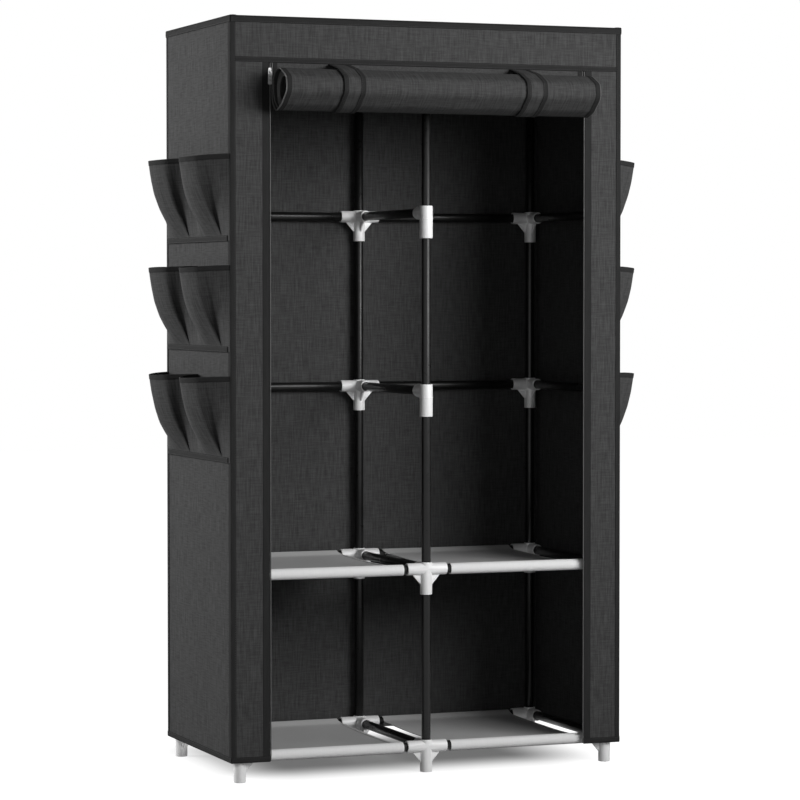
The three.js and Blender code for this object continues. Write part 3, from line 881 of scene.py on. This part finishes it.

# %% [markdown]
# The door's side edges carry the other half of the zip: a dark tape, and a nylon coil along the very
# edge. On the roll they follow the spiral, and on the flap they run straight down with it.

# %% Door edge tapes and coils
door_tape_width = 10 * MM
door_tape_turns = 1.1
coil_radius = 1.5 * MM
coil_hoop_share = 0.7
coil_hoop_turn = math.tau * 0.98
coil_hoop_thickness = 0.3 * MM
tooth_pitch = 2.2 * MM
tooth_share = 0.22
coil_sides = 8


def coil_piece(name, path, body):
    """A round nylon coil along a path, thicker at each tooth; its ends are closed."""
    path = np.asarray(path, float)
    total = np.linalg.norm(np.diff(path, axis=0), axis=1).sum()
    at = np.arange(0, total, tooth_pitch / 4)
    line = resampled(path, at)
    ahead = unit(np.gradient(line, axis=0))
    across = unit(np.cross(ahead, x_axis))
    second = np.cross(ahead, across)
    size = coil_radius * (1 - tooth_share * (0.5 + 0.5 * np.cos(at / tooth_pitch * math.tau)))
    angles = np.arange(coil_sides) * math.tau / coil_sides
    ring = across[:, None] * np.cos(angles)[None, :, None] + second[:, None] * np.sin(angles)[None, :, None]
    points = (line[:, None] + ring * size[:, None, None]).reshape(-1, 3)
    count = len(at)
    i, j = np.meshgrid(np.arange(count - 1), np.arange(coil_sides), indexing="ij")
    here, beside = i * coil_sides + j, i * coil_sides + (j + 1) % coil_sides
    quads = np.stack([here, beside, beside + coil_sides, here + coil_sides], -1).reshape(-1, 4).tolist()
    caps = [list(range(coil_sides))[::-1], list(range((count - 1) * coil_sides, count * coil_sides))]
    mesh = mesh_of(name, points, quads + caps, sharp_degrees=80)
    return add_piece(name, mesh, nylon_coil, body)


roll_trim, flap_trim = [], []
insets = np.linspace(0, door_tape_width, 5)
outer_turns = turns[:round(turn_rows * door_tape_turns)]
tape_out = cloth_thickness / 2 + face_lift
hoop_radius = coil_radius * coil_hoop_share
hoop = [(hoop_radius * math.cos(angle), hoop_radius * math.sin(angle))
        for angle in np.linspace(0, coil_hoop_turn, 9)]
for side, sx in sides.items():
    band = [[(spiral_end(turn, sx) - sx * inset, *around_roll(spiral_radius(turn) + tape_out, turn))
             for inset in insets] for turn in outer_turns]
    roll_trim.append(tape_piece(f"door_roll_tape_{side}", band, "door_roll"))
    path = [(spiral_end(turn, sx) + sx * coil_radius, *around_roll(spiral_radius(turn), turn))
            for turn in turns]
    roll_trim.append(coil_piece(f"door_roll_coil_{side}", path, "door_roll"))
    band = [[(sx * (flap_half - inset), door_y - tape_out, z) for inset in insets] for z in flap_z]
    flap_trim.append(tape_piece(f"door_flap_tape_{side}", band, None, flap_along))
    edge = [[(sx * (flap_half + coil_radius) + x, door_y + y, z) for x, y in hoop] for z in flap_z]
    flap_trim.append(cloth_piece(f"door_flap_coil_{side}", edge, nylon_coil, coil_hoop_thickness, None,
                                 flap_along))

for piece in (door_roll, *roll_trim):
    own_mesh(piece)
for piece in (door_flap, *flap_trim):
    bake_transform(piece)
print("door trim:", len(roll_trim), "on the roll,", len(flap_trim), "on the flap")

# %% [markdown]
# ## Straps round the roll
# Two straps of the cover's cloth hold the roll. Each is sewn inside the header, runs down behind the
# door and under the roll, meets its other half there, and comes back over the roll's front to the
# header's face. Each is in two halves, one behind the door and one before it.

# %% Strap paths
strap_low, strap_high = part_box("door_strap_left")
strap_width = strap_high.x - strap_low.x
strap_x = abs(middle("door_strap_left").x)
strap_thickness = 0.9 * MM
strap_radius = roll_radius + 0.8 * MM
strap_tail = 12 * MM
strap_tape_width = 9 * MM
strap_tape_over = 0.5 * MM
strap_tape_clear = 0.1 * MM
strap_overlap_share = 0.03
clear_of_tape = 1.2 * MM
lowest_turn = 0.25
rear_steps, front_steps = 24, 60


def strap_lines():
    """The two halves of a strap as lines in Y and Z: behind the door, and before it."""
    leave = (front_y - clear_of_tape, header_z - hem_lift - clear_of_tape)
    reach = math.hypot(leave[0] - roll_y, leave[1] - roll_z)
    leave_turn = -math.atan2(leave[1] - roll_z, leave[0] - roll_y) / math.tau
    last_turn = 1 + leave_turn - math.acos(strap_radius / reach) / math.tau
    behind = roll_y + strap_radius + clear_of_tape
    rear = [(behind, header_z + strap_tail), (behind, header_z - strap_tail)]
    for turn in np.linspace(0, lowest_turn + strap_overlap_share, rear_steps):
        rear.append(around_roll(strap_radius + clear_of_tape * max(0, 1 - turn * 8), turn))
    front = []
    for turn in np.linspace(lowest_turn - strap_overlap_share, last_turn, front_steps):
        over = min(1, max(0, (lowest_turn + strap_overlap_share * 2 - turn) / strap_overlap_share))
        front.append(around_roll(strap_radius + clear_of_tape * over, turn))
    front.append(leave)
    return {"rear": rear, "front": front}


def away_from_roll(line):
    """For each point of a line round the roll, the direction that looks away from the roll."""
    out = np.cross(unit(np.gradient(line, axis=0)), x_axis)
    mid = len(line) // 2
    from_roll = line[mid] - np.array([line[mid][0], roll_y, roll_z])
    return out if out[mid] @ from_roll > 0 else -out


def strap_grid(line, x_low, x_high, lift, columns_across):
    """A band of cloth along a line in Y and Z, lifted off it away from the roll."""
    line = np.array([(0, y, z) for y, z in line])
    line = line + away_from_roll(line) * lift
    places = np.linspace(x_low, x_high, columns_across)
    return np.array([[point + x_axis * x for x in places] for point in line])


strap_pieces = []
strap_tape_lift = strap_thickness / 2 + tape_thickness / 2 + strap_tape_clear
for side, sx in sides.items():
    x_low, x_high = sx * strap_x - strap_width / 2, sx * strap_x + strap_width / 2
    for half, line in strap_lines().items():
        strap = cloth_piece(f"door_strap_{side}_{half}", strap_grid(line, x_low, x_high, 0, 10), cover_cloth,
                            strap_thickness)
        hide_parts(f"door_strap_{side}")
        trims, stitch_rows = [], []
        for edge, x, seam in (("left", x_low, strap_tape_width - stitch_inset),
                              ("right", x_high - strap_tape_width, stitch_inset)):
            grid = strap_grid(line, x - strap_tape_over, x + strap_tape_width + strap_tape_over,
                              strap_tape_lift, 6)
            trims.append(tape_piece(f"strap_tape_{side}_{half}_{edge}", grid))
            row = strap_grid(line, x + seam, x + seam, strap_tape_lift + tape_thickness / 2, 1)[:, 0]
            stitch_rows.append(stitch_row(row, away_from_roll(row)))
        trims.append(add_stitches(f"strap_stitches_{side}_{half}", stitch_rows))
        strap_pieces.append((strap, trims))
        for piece in (strap, *trims):
            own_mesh(piece)
print("strap halves:", len(strap_pieces))

# %% [markdown]
# ## The zip on the cover
# The fixed half of the zip runs down both edges of the opening: a tape on the stile, and a coil on its
# very edge, where the slider travels. The sliders and their pull tabs are already right in the frame,
# so they only get softer edges and a worn metal finish.

# %% Zip tapes, coils and sliders
zip_tape_width = 16 * MM
zip_tape_thickness = 0.25 * MM
zip_clear = 0.02 * MM
zip_rows = 60
coil_inset = 1.8 * MM
for side, sx in sides.items():
    tape_y = front_y - zip_clear - zip_tape_thickness / 2
    grid = [[(sx * (opening_x + across), tape_y, z) for across in np.linspace(0, zip_tape_width, 6)]
            for z in np.linspace(hem_z + hem_tape / 3, header_z, zip_rows)]
    tape = cloth_piece(f"zip_tape_{side}", grid, edge_tape, zip_tape_thickness)
    path = [(sx * (opening_x - coil_inset), front_y + half_cloth, z) for z in (hem_z, header_z - hem_lift)]
    tapes[f"stile_{side}"] += [tape, coil_piece(f"zip_coil_{side}", path, cover_body)]

edge_round = 0.22 * MM
weld_reach = 0.01 * MM
for side in sides:
    for name in (f"zip_slider_{side}", f"zip_pull_{side}"):
        metal = frame["nodes"][name]
        metal.data.materials.clear()
        metal.data.materials.append(worn_nickel)
        weld = metal.modifiers.new("weld", "WELD")
        weld.merge_threshold = weld_reach
        bevel = metal.modifiers.new("bevel", "BEVEL")
        bevel.width = edge_round
        bevel.segments = 2
        bevel.limit_method = "ANGLE"
print("zip tapes and coils:", 2 * len(sides))

# %% [markdown]
# ## Steel tubes
# The frame's solids are faceted, and round tubes catch a thin clean highlight, so each tube is turned
# again on many sides: hollow, with a wall of 0.7 mm and softened ends. Posts run through their
# connectors, and rails plug in between them.

# %% Turned shapes
tube_radius = 10 * MM
tube_wall = 0.7 * MM
tube_end_round = 0.3 * tube_wall
tube_sides = 40


def turned(profile, hollow, side_count=tube_sides):
    """Points and faces of a shape turned round Z from (radius, height) pairs."""
    angles = np.arange(side_count) * math.tau / side_count
    ring = np.stack([np.cos(angles), np.sin(angles), np.zeros(side_count)], 1)
    points = np.concatenate([ring * radius + z_axis * height for radius, height in profile])
    ring_count = len(profile)
    last = ring_count if hollow else ring_count - 1
    faces = []
    for i in range(last):
        a, b = i * side_count, ((i + 1) % ring_count) * side_count
        for j in range(side_count):
            k = (j + 1) % side_count
            faces.append([a + j, a + k, b + k, b + j])
    if not hollow:
        faces.append(list(range(side_count))[::-1])
        faces.append(list(range((ring_count - 1) * side_count, ring_count * side_count)))
    return points, faces


def turned_to(points, start, direction):
    """Turns a shape's Z axis to a direction and moves it to a start."""
    matrix = np.array(Vector(direction).to_track_quat("Z", "Y").to_matrix())
    return points @ matrix.T + np.array(start)


def add_tube(name, start, end, node_name):
    """A hollow tube; the profile runs down its bore and back up its outside."""
    start, end = np.array(start, float), np.array(end, float)
    long = np.linalg.norm(end - start)
    soft, bore = tube_end_round, tube_radius - tube_wall
    profile = [(tube_radius, soft), (tube_radius, long - soft), (tube_radius - soft, long),
               (bore + soft, long), (bore, long - soft), (bore, soft), (bore + soft, 0),
               (tube_radius - soft, 0)]
    points, faces = turned(profile, True)
    points = turned_to(points, start, end - start)
    piece = add_piece(name, mesh_of(name, points, faces, sharp_degrees=50), black_steel)
    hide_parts(node_name)

# %% Posts, rails and the top frame
socket_gap = 0.3 * MM
foot_floor = 3 * MM
connector_radius = 13.5 * MM
top_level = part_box("top_frame_and_hanging_rods")[1].z - connector_radius
bore_radius = tube_radius + socket_gap
top_frame = "top_frame_and_hanging_rods"
shelf_levels = ("bottom", "lower")
rail_levels = {"front": shelf_levels, "rear": tuple(levels)}
bays = (("left", "centre"), ("centre", "right"))
spans = {side: (columns[first] + bore_radius, columns[second] - bore_radius)
         for side, (first, second) in zip(sides, bays)}
mid_y = (rows["front"] + rows["rear"]) / 2
half_rows = {"front": (rows["front"], mid_y), "rear": (mid_y, rows["rear"])}

for row, y in rows.items():
    tube_node = f"{row}_tube_frame"
    for column, x in columns.items():
        add_tube(f"post_{row}_{column}", (x, y, foot_floor + socket_gap), (x, y, top_level - bore_radius),
                 tube_node)
    for level in rail_levels[row]:
        z = levels[level]
        for side, (x_1, x_2) in spans.items():
            add_tube(f"cross_rail_{row}_{side}_{level}", (x_1, y, z), (x_2, y, z), tube_node)
    for side, (x_1, x_2) in spans.items():
        add_tube(f"top_rail_{row}_{side}", (x_1, y, top_level), (x_2, y, top_level), top_frame)
for column, x in columns.items():
    for level, z in levels.items():
        rail = f"depth_rail_{column}_{level}"
        add_tube(f"tube_{rail}", (x, rows["front"] + bore_radius, z), (x, rows["rear"] - bore_radius, z),
                 rail)
    for half, (y_1, y_2) in half_rows.items():
        add_tube(f"top_tie_{column}_{half}", (x, y_1 + bore_radius, top_level),
                 (x, y_2 - bore_radius, top_level), top_frame)
for side, (x_1, x_2) in spans.items():
    add_tube(f"hanging_rod_{side}", (x_1, mid_y, top_level), (x_2, mid_y, top_level), top_frame)

# %% [markdown]
# ## Plastic connectors
# A connector is a moulded sleeve for the post with a socket for each rail and a rib under each socket.
# Its joints are where round forms run into one another, which booleans cut exactly: turned solids with
# rounded rims are joined, and then the flared bores are taken out. There are only a few kinds, so each
# kind is made once and its mesh is shared.

# %% One connector
sleeve_drop = levels["bottom"]
sleeve_rise = 15 * MM
socket_reach = 47 * MM
plain_radius = 14.5 * MM
rim_round = 1.3 * MM
flare = 0.9 * MM
bore_past = 5 * MM
rib_round = 0.7 * MM
bead_rise = 0.6 * MM
bead_round = 0.5 * MM
sharp_above = 32
rib_thickness = 4 * MM
rib_reach = 32 * MM
rib_drop = 35 * MM
bead_drop = 14.5 * MM
arm_directions = {"left": to_left, "right": to_right, "front": to_front, "rear": to_rear}


def rounded_bar(radius, long, soft=rim_round):
    """The profile of a bar with rounded rims, for turning."""
    turns_of_rim = [i * math.pi / 6 for i in range(4)]
    foot = [(radius - soft + soft * math.sin(a), soft - soft * math.cos(a)) for a in turns_of_rim]
    head = [(radius - soft + soft * math.cos(a), long - soft + soft * math.sin(a)) for a in turns_of_rim]
    return foot + head


def scratch_object(points, faces):
    mesh = bpy.data.meshes.new("scratch")
    mesh.from_pydata(np.asarray(points).tolist(), [], faces)
    return linked("scratch", mesh)


def bar_object(start, direction, radius, long, soft=rim_round):
    points, faces = turned(rounded_bar(radius, long, soft), False)
    return scratch_object(turned_to(points, start, direction), faces)


def bore_object(start, direction, long):
    """A bore for a tube, flared where it opens; it runs past the mouth so that the cut is clean."""
    wide = bore_radius + flare
    profile = [(bore_radius, 0), (bore_radius, long - flare), (wide, long), (wide, long + bore_past)]
    points, faces = turned(profile, False)
    return scratch_object(turned_to(points, start, direction), faces)


def rib_object(direction):
    """A flat web in the corner under a socket."""
    outline = [(0, 0), (rib_reach, -connector_radius), (connector_radius, -rib_drop), (0, -rib_drop)]
    dx, dy, _ = direction
    half = rib_thickness / 2
    points = [(a * dx - s * half * dy, a * dy + s * half * dx, b) for s in (-1, 1) for a, b in outline]
    faces = [[3, 2, 1, 0], [4, 5, 6, 7]] + [[i, (i + 1) % 4, (i + 1) % 4 + 4, i + 4] for i in range(4)]
    rib = scratch_object(points, faces)
    soften = rib.modifiers.new("bevel", "BEVEL")
    soften.width = rib_round
    soften.segments = 2
    return rib


def combined(base, joined, cut, name):
    """Joins and cuts scratch solids, and returns the mesh that is left."""
    for operation, tools in (("UNION", joined), ("DIFFERENCE", cut)):
        for tool in tools:
            boolean = base.modifiers.new("boolean", "BOOLEAN")
            boolean.operation = operation
            boolean.solver = "EXACT"
            boolean.object = tool
    bpy.context.view_layer.update()
    mesh = bpy.data.meshes.new_from_object(base.evaluated_get(bpy.context.evaluated_depsgraph_get()))
    mesh.name = name
    for piece in (base, *joined, *cut):
        bpy.data.objects.remove(piece)
    mesh.shade_smooth()
    mesh.set_sharp_from_angle(angle=math.radians(sharp_above))
    mesh.materials.clear()
    return mesh


def connector_mesh(arms, kind):
    """kind is foot, joint or top: a foot has a closed floor, and a top one ends at its socket's top."""
    plain = len(arms) == 1
    radius = plain_radius if plain else connector_radius
    rise = connector_radius if kind == "top" else sleeve_rise
    base = bar_object((0, 0, -sleeve_drop), z_axis, radius, sleeve_drop + rise)
    joined = [bar_object((0, 0, 0), arm_directions[arm], radius, socket_reach) for arm in arms]
    if plain:
        joined.append(bar_object((0, 0, -bead_drop - rim_round), z_axis, radius + bead_rise, rim_round * 2,
                                 bead_round))
    else:
        joined += [rib_object(arm_directions[arm]) for arm in arms]
    cut = [bore_object((0, 0, 0), arm_directions[arm], socket_reach) for arm in arms]
    if kind != "top":
        floor = foot_floor - sleeve_drop if kind == "foot" else 0
        cut.append(bore_object((0, 0, floor), z_axis, rise - floor))
    if kind != "foot":
        cut.append(bore_object((0, 0, 0), -z_axis, sleeve_drop))
    return combined(base, joined, cut, f"connector_{kind}_{'_'.join(arms)}")

# %% All connectors
connector_meshes = {}
opposite = {"left": "right", "right": "left", "front": "rear", "rear": "front"}


def add_plastic(name, mesh, place, turn, node_name):
    piece = add_piece(name, mesh, white_plastic, None)
    piece.location = place
    piece.rotation_euler = (0, 0, turn)
    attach(piece, cover_body)
    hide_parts(node_name)


def add_connector(name, row, column, level, kind, node_name):
    """The rear row uses the front row's shapes, turned half way round."""
    arms = [opposite[row]]
    if row == "rear" or level in shelf_levels or kind == "top":
        arms += [side for side in sides if column != side]
    turn = math.pi if row == "rear" else 0
    own = sorted(opposite[arm] if turn else arm for arm in arms)
    key = (kind, *own)
    if key not in connector_meshes:
        connector_meshes[key] = connector_mesh(own, kind)
    place = (columns[column], rows[row], top_level if kind == "top" else levels[level])
    add_plastic(name, connector_meshes[key], place, turn, node_name)


for row in rows:
    for column in columns:
        for level in levels:
            kind = "foot" if level == "bottom" else "joint"
            node_name = f"foot_{row}_{column}" if kind == "foot" else f"connector_{row}_{column}_{level}"
            add_connector(f"plastic_{node_name}", row, column, level, kind, node_name)
        add_connector(f"plastic_top_{row}_{column}", row, column, "top", "top", top_frame)

rod_socket = 34 * MM
for column, x in columns.items():
    base = bar_object((0, -rod_socket, 0), y_axis, connector_radius, rod_socket * 2)
    arms = [arm_directions[side] for side in sides if column != side]
    joined = [bar_object((0, 0, 0), arm, connector_radius, rod_socket) for arm in arms]
    cut = [bore_object((0, 0, 0), arm, rod_socket) for arm in (*arms, y_axis, -y_axis)]
    name = f"rod_fitting_{column}"
    add_plastic(name, combined(base, joined, cut, name), (x, mid_y, top_level), 0, top_frame)
print("connector kinds:", sorted(connector_meshes))

# %% [markdown]
# ## Shelf cloths
# A shelf is one pale cloth with a sleeve sewn at each end, which slides over a rail before the rail is
# plugged in. Its section is one continuous line: round the front rail, along the shelf with a slight
# sag, and round the rear rail. The sleeves stand higher than the sheet between them, so the rear one
# catches the light. The cloth comes in two copies of one material: a paler, lit one on the front sleeve,
# and a darker one elsewhere, whose darkness is painted shade.

# %% Shelf cloths
shelf_sleeve = 12.5 * MM
sleeve_seam = 27 * MM
shelf_sag = 3.0 * MM
sheet_rise = 2 * MM
shelf_hem = 9 * MM
shelf_hem_out = 0.3 * MM
shelf_hem_thickness = 0.7 * MM
shelf_wave = 1.2 * MM
shelf_wave_width = 60 * MM
shelf_wave_length = 160 * MM
shelf_wave_fade = 50 * MM
sleeve_end_gap = 2.5 * MM
sleeve_clear = cloth_thickness * 1.1
sheet_columns, hem_columns = 24, 5
line_smoothings = 3
edge_bend = 0.7
sleeve_drop_on_rail = shelf_sleeve - cad_cloth - tube_radius - seam_gap
sleeve_mid = shelf_sleeve - half_cloth
sleeve_turn = math.acos(sleeve_mid / sleeve_seam)


def sleeve_line(seam_y, rail_y, toward, turn_steps=32, arm_points=6):
    """A sleeve's section from its seam over the rail and back under it; `toward` is where the sheet lies."""
    top = [(rail_y + toward * sleeve_mid * math.cos(angle), sleeve_mid * math.sin(angle))
           for angle in np.linspace(sleeve_turn, math.tau - sleeve_turn, turn_steps)]
    shares = [i / arm_points for i in range(arm_points)]
    above, below = (seam_y, sheet_rise), (seam_y, sheet_rise - sleeve_clear)
    first = [tuple(a + (b - a) * share for a, b in zip(above, top[0])) for share in shares]
    last = [tuple(a + (b - a) * share for a, b in zip(below, top[-1])) for share in shares]
    return first + top + last[::-1]


def shelf_line(sheet_steps=40):
    """The whole section in Y and Z, and which of its points are the sheet between the sleeves."""
    start, end = rows["front"] + sleeve_seam, rows["rear"] - sleeve_seam
    front = sleeve_line(start, rows["front"], 1)[::-1]
    rear = sleeve_line(end, rows["rear"], -1)
    sheet = [(start + (end - start) * share, sheet_rise - shelf_sag * 4 * share * (1 - share))
             for share in np.linspace(0, 1, sheet_steps)[1:-1]]
    line = np.array([(0, y, z - sleeve_drop_on_rail) for y, z in front + sheet + rear])
    for _ in range(line_smoothings):
        line[1:-1] = (line[:-2] + 2 * line[1:-1] + line[2:]) / 4
    return line, slice(len(front), len(front) + len(sheet))


def sheet_edge(line, x, outward, beyond_front, beyond_rear):
    """An edge of the cloth along the section: it leaves the sleeves' ends and wanders outward as given."""
    along = (line[:, 1] - rows["front"]) / (rows["rear"] - rows["front"])
    clear = np.minimum(line[:, 1] - rows["front"], rows["rear"] - line[:, 1]) - sleeve_mid
    inside = np.clip(clear / sleeve_seam, 0, 1) ** edge_bend
    beyond = beyond_front + (beyond_rear - beyond_front) * along
    return x + outward * (beyond * inside - sleeve_end_gap * (1 - inside))


def shelf_grid(line, x_low, x_high, column_count, lift=0.0):
    """A grid over the section from one edge to the other."""
    shares = np.linspace(0, 1, column_count)[None, :]
    grid = np.repeat((line + z_axis * lift)[:, None, :], column_count, axis=1)
    grid[:, :, 0] = x_low[:, None] * (1 - shares) + x_high[:, None] * shares
    return grid


def waved(grid, level):
    """Small waves in the sheet, which die out at the sleeves."""
    for point in grid.reshape(-1, 3):
        x, y, _ = point
        clear = min(y - rows["front"], rows["rear"] - y) - sleeve_seam
        place = Vector((x / shelf_wave_width, y / shelf_wave_length, levels[level] * 3))
        point[2] += min(1, max(0, clear / shelf_wave_fade)) * shelf_wave * noise.noise(place)
    return grid


def lit_front_sleeve(cloth):
    """Gives the faces round the front rail the lit copy of the shelf cloth; the rest keeps the darker copy, which
    is painted shade.
    """
    cloth.data.materials.append(lit_shelf_cloth)
    for face in cloth.data.polygons:
        face.material_index = int(abs(face.center.y - rows["front"]) < sleeve_seam)


hem_lift_on_shelf = cloth_thickness * 0.95
hem_top = hem_lift_on_shelf + shelf_hem_thickness / 2

# How far each shelf's inner edge wanders from its solid, at the front rail and at the rear one
inner_wander = {("left", "lower"): (9 * MM, 9 * MM), ("right", "lower"): (5 * MM, -11 * MM),
                ("left", "bottom"): (1 * MM, 6 * MM), ("right", "bottom"): (2 * MM, 2 * MM)}
shelves = []
for level in shelf_levels:
    for side in sides:
        low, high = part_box(f"shelf_cloth_{side}_{level}")
        section, sheet_part = shelf_line()
        section = section + z_axis * levels[level]
        inner, straight = inner_wander[side, level], (0, 0)
        x_low = sheet_edge(section, low.x, -1, *(inner if side == "right" else straight))
        x_high = sheet_edge(section, high.x, 1, *(inner if side == "left" else straight))
        grid = waved(shelf_grid(section, x_low, x_high, sheet_columns), level)
        cloth = cloth_piece(f"shelf_{side}_{level}", grid, shelf_cloth)
        # Painted shade: the front sleeve gets the lit copy, the rest keeps the darker one
        lit_front_sleeve(cloth)
        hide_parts(f"shelf_cloth_{side}_{level}")
        trims, stitch_rows = [], []
        sheet = section[sheet_part]
        for edge, x, inward in (("left", x_low[sheet_part], 1), ("right", x_high[sheet_part], -1)):
            hem = (x - inward * shelf_hem_out, x + inward * shelf_hem)
            band = shelf_grid(sheet, np.minimum(*hem), np.maximum(*hem), hem_columns, hem_lift_on_shelf)
            trims.append(cloth_piece(f"shelf_hem_{side}_{level}_{edge}", waved(band, level), shelf_cloth,
                                     shelf_hem_thickness))
            at = x + inward * (shelf_hem - stitch_inset)
            row = waved(shelf_grid(sheet, at, at, 1, hem_top), level)[:, 0]
            stitch_rows.append(stitch_row(row, z_axis))
        z = levels[level] + sheet_rise - sleeve_drop_on_rail + cloth_thickness / 2
        for y in (rows["front"] + sleeve_seam, rows["rear"] - sleeve_seam):
            stitch_rows.append(stitch_row([(low.x, y, z), (high.x, y, z)], z_axis))
        trims.append(add_stitches(f"shelf_stitches_{side}_{level}", stitch_rows, thread=pale_thread))
        shelves.append((cloth, trims))
print("shelves:", len(shelves))

# %% [markdown]
# ## The cloth's flat sizes
# Each sheet of cloth has the size it was cut to before it was sewn. The sizes are read back from the
# meshes' own lengths, so that they stay true, and a few of them are printed.

def flat_size(piece):
    """Width and length of the cloth, from its weave attribute."""
    values = np.zeros(len(piece.data.vertices) * 3)
    piece.data.attributes["weave"].data.foreach_get("vector", values)
    across, along, _ = values.reshape(-1, 3).max(axis=0) - values.reshape(-1, 3).min(axis=0)
    return round(float(across), 4), round(float(along), 4)


for name, piece in panels.items():
    flat_size(piece)
for pocket, trims, side in pockets:
    flat_size(pocket)
flat_size(door_roll)
for strap, trims in strap_pieces:
    flat_size(strap)
for cloth, trims in shelves:
    flat_size(cloth)
print("flat sizes:", {piece.name: flat_size(piece) for piece in (door_roll, pockets[0][0], shelves[0][0])})

# %% [markdown]
# ## Floor, light and camera
# The wardrobe stands on a plain white floor. The floor is white to the camera, yet it still shows the
# object's shadow: its own glow is added to what falls on it, and that glow is weaker under and near
# the wardrobe, which paints a shadow over the real one. Two large soft lamps do most of the work.
# One from the left and a little behind lights the side with the pockets. One from the right front,
# aimed high and narrowed by a grid, lights the front and reaches into the left half of the inside. A
# third, weak lamp from the left front fills the shade, as does a faint light from all round.

# %% The floor
def only_seen(tree):
    """1 for what the camera sees directly, or in a mirror or through glass, and 0 for lighting."""
    rays = node(tree, "LightPath", {}).outputs
    seen = rays["Is Camera Ray"]
    for ray in ("Is Glossy Ray", "Is Transmission Ray"):
        seen = node(tree, "Math", {0: seen, 1: rays[ray]}, operation="MAXIMUM").outputs[0]
    return seen


floor_size = 14.0
floor_level = 0.25
# The floor's glow is weaker under and near the wardrobe: a painted shadow, added to the real one
painted_shadow_glow = 0.16
painted_shadow_reach = 0.25
painted_shadow_y = 0.15
painted_shadow_inset, painted_shadow_half_depth = 0.20, 0.13
painted_shadow_half = (side_x - painted_shadow_inset, painted_shadow_half_depth, 0)
floor_corners = [(sx * floor_size, sy * floor_size, 0) for sx, sy in ((-1, -1), (1, -1), (1, 1), (-1, 1))]
floor_mesh = mesh_of("floor", floor_corners, [[0, 1, 2, 3]])
floor_material, tree, shader = new_material("white_floor", 0.9, Specular_IOR_Level=0.0)
shader.inputs["Base Color"].default_value = (floor_level, floor_level, floor_level, 1)

# Metres from the deep shade under the wardrobe, and a glow that grows with them to plain white; the weaker glow
# near the wardrobe is painted shadow
place = object_coordinates(tree)
offset = node(tree, "VectorMath", {0: place, 1: (0, painted_shadow_y, 0)}, operation="SUBTRACT")
reach = node(tree, "VectorMath", {0: offset.outputs[0]}, operation="ABSOLUTE")
past = node(tree, "VectorMath", {0: reach.outputs[0], 1: painted_shadow_half}, operation="SUBTRACT")
outside = node(tree, "VectorMath", {0: past.outputs[0], 1: (0, 0, 0)}, operation="MAXIMUM")
away = node(tree, "VectorMath", {0: outside.outputs[0]}, operation="LENGTH")
brighter = ramp(tree, away.outputs["Value"], 0.0, painted_shadow_reach, painted_shadow_glow, 1.0,
                interpolation_type="SMOOTHSTEP")
glow = node(tree, "Emission", {"Strength": brighter})
shown = node(tree, "MixShader", {0: only_seen(tree)})
both = node(tree, "AddShader", {0: shader.outputs[0], 1: glow.outputs[0]})
tree.links.new(shader.outputs[0], shown.inputs[1])
tree.links.new(both.outputs[0], shown.inputs[2])
tree.links.new(shown.outputs[0], tree.nodes["Material Output"].inputs["Surface"])
floor_mesh.materials.append(floor_material)
floor = linked("floor", floor_mesh)
print("floor:", floor.name, "of", floor_size * 2, "m")

# %% The light
world = bpy.data.worlds.new("studio")
bpy.context.scene.world = world
world.use_nodes = True
ambient_level = 0.07
tree = world.node_tree
background = tree.nodes["Background"].inputs
background["Color"].default_value = (1, 1, 1, 1)
strength = ramp(tree, only_seen(tree), 0.0, 1.0, ambient_level, 1.0)
tree.links.new(strength, background["Strength"])


def add_softbox(name, target, direction, distance, wide, tall, level, spread=150):
    """A soft lamp; at `level` 1 a white surface that faces it at the target renders as white.

    A grid on the lamp narrows its light to `spread` degrees, so that it fades away from the target."""
    lamp = bpy.data.lights.new(name, "AREA")
    lamp.shape = "RECTANGLE"
    lamp.size = wide
    lamp.size_y = tall
    lamp.spread = math.radians(spread)
    half_spread = lamp.spread / 2
    focus = math.tan(half_spread) / (math.tan(half_spread) - half_spread)
    lamp.energy = level * math.pi ** 2 * distance ** 2 / focus
    holder = linked(name, lamp)
    away = Vector(direction).normalized()
    holder.location = Vector(target) + away * distance
    holder.rotation_euler = away.to_track_quat("Z", "Y").to_euler()


add_softbox("side_softbox", (-side_x, 0, 1.45), direction=(-0.87, 0.48, 0.12), distance=3.0, wide=1.6,
            tall=1.6, level=1.33)
add_softbox("front_softbox", (0.35, front_y, 1.65), direction=(0.47, -0.88, 0.12), distance=3.4, wide=2.8,
            tall=1.8, level=1.76, spread=95)
add_softbox("fill_softbox", (0, front_y, 0.9), direction=(-0.36, -0.93, 0.05), distance=5.0, wide=3.0,
            tall=3.0, level=0.05)

# %% The camera
camera_place = (-2.5933, -6.62705, 1.0617)
camera_tilt = 90 - 1.929
camera_turn = -21.38
camera_lens = 141.48
camera = linked("camera", bpy.data.cameras.new("camera"))
camera.location = camera_place
camera.rotation_euler = (math.radians(camera_tilt), 0, math.radians(camera_turn))
camera.data.lens = camera_lens
camera.data.dof.use_dof = False
bpy.context.scene.camera = camera
bpy.context.scene.view_settings.view_transform = "Standard"
print("camera at", camera_place, "with a lens of", camera_lens, "mm")

# %% [markdown]
# ## Box corners
# Cloth may stand a little proud of the solids, but the dressed wardrobe keeps the size of the frame.
# A helper rounds a box's corners to five places.

# %% Rounding the boxes
def plain(bounds):
    return [[round(value, 5) for value in corner] for corner in bounds]
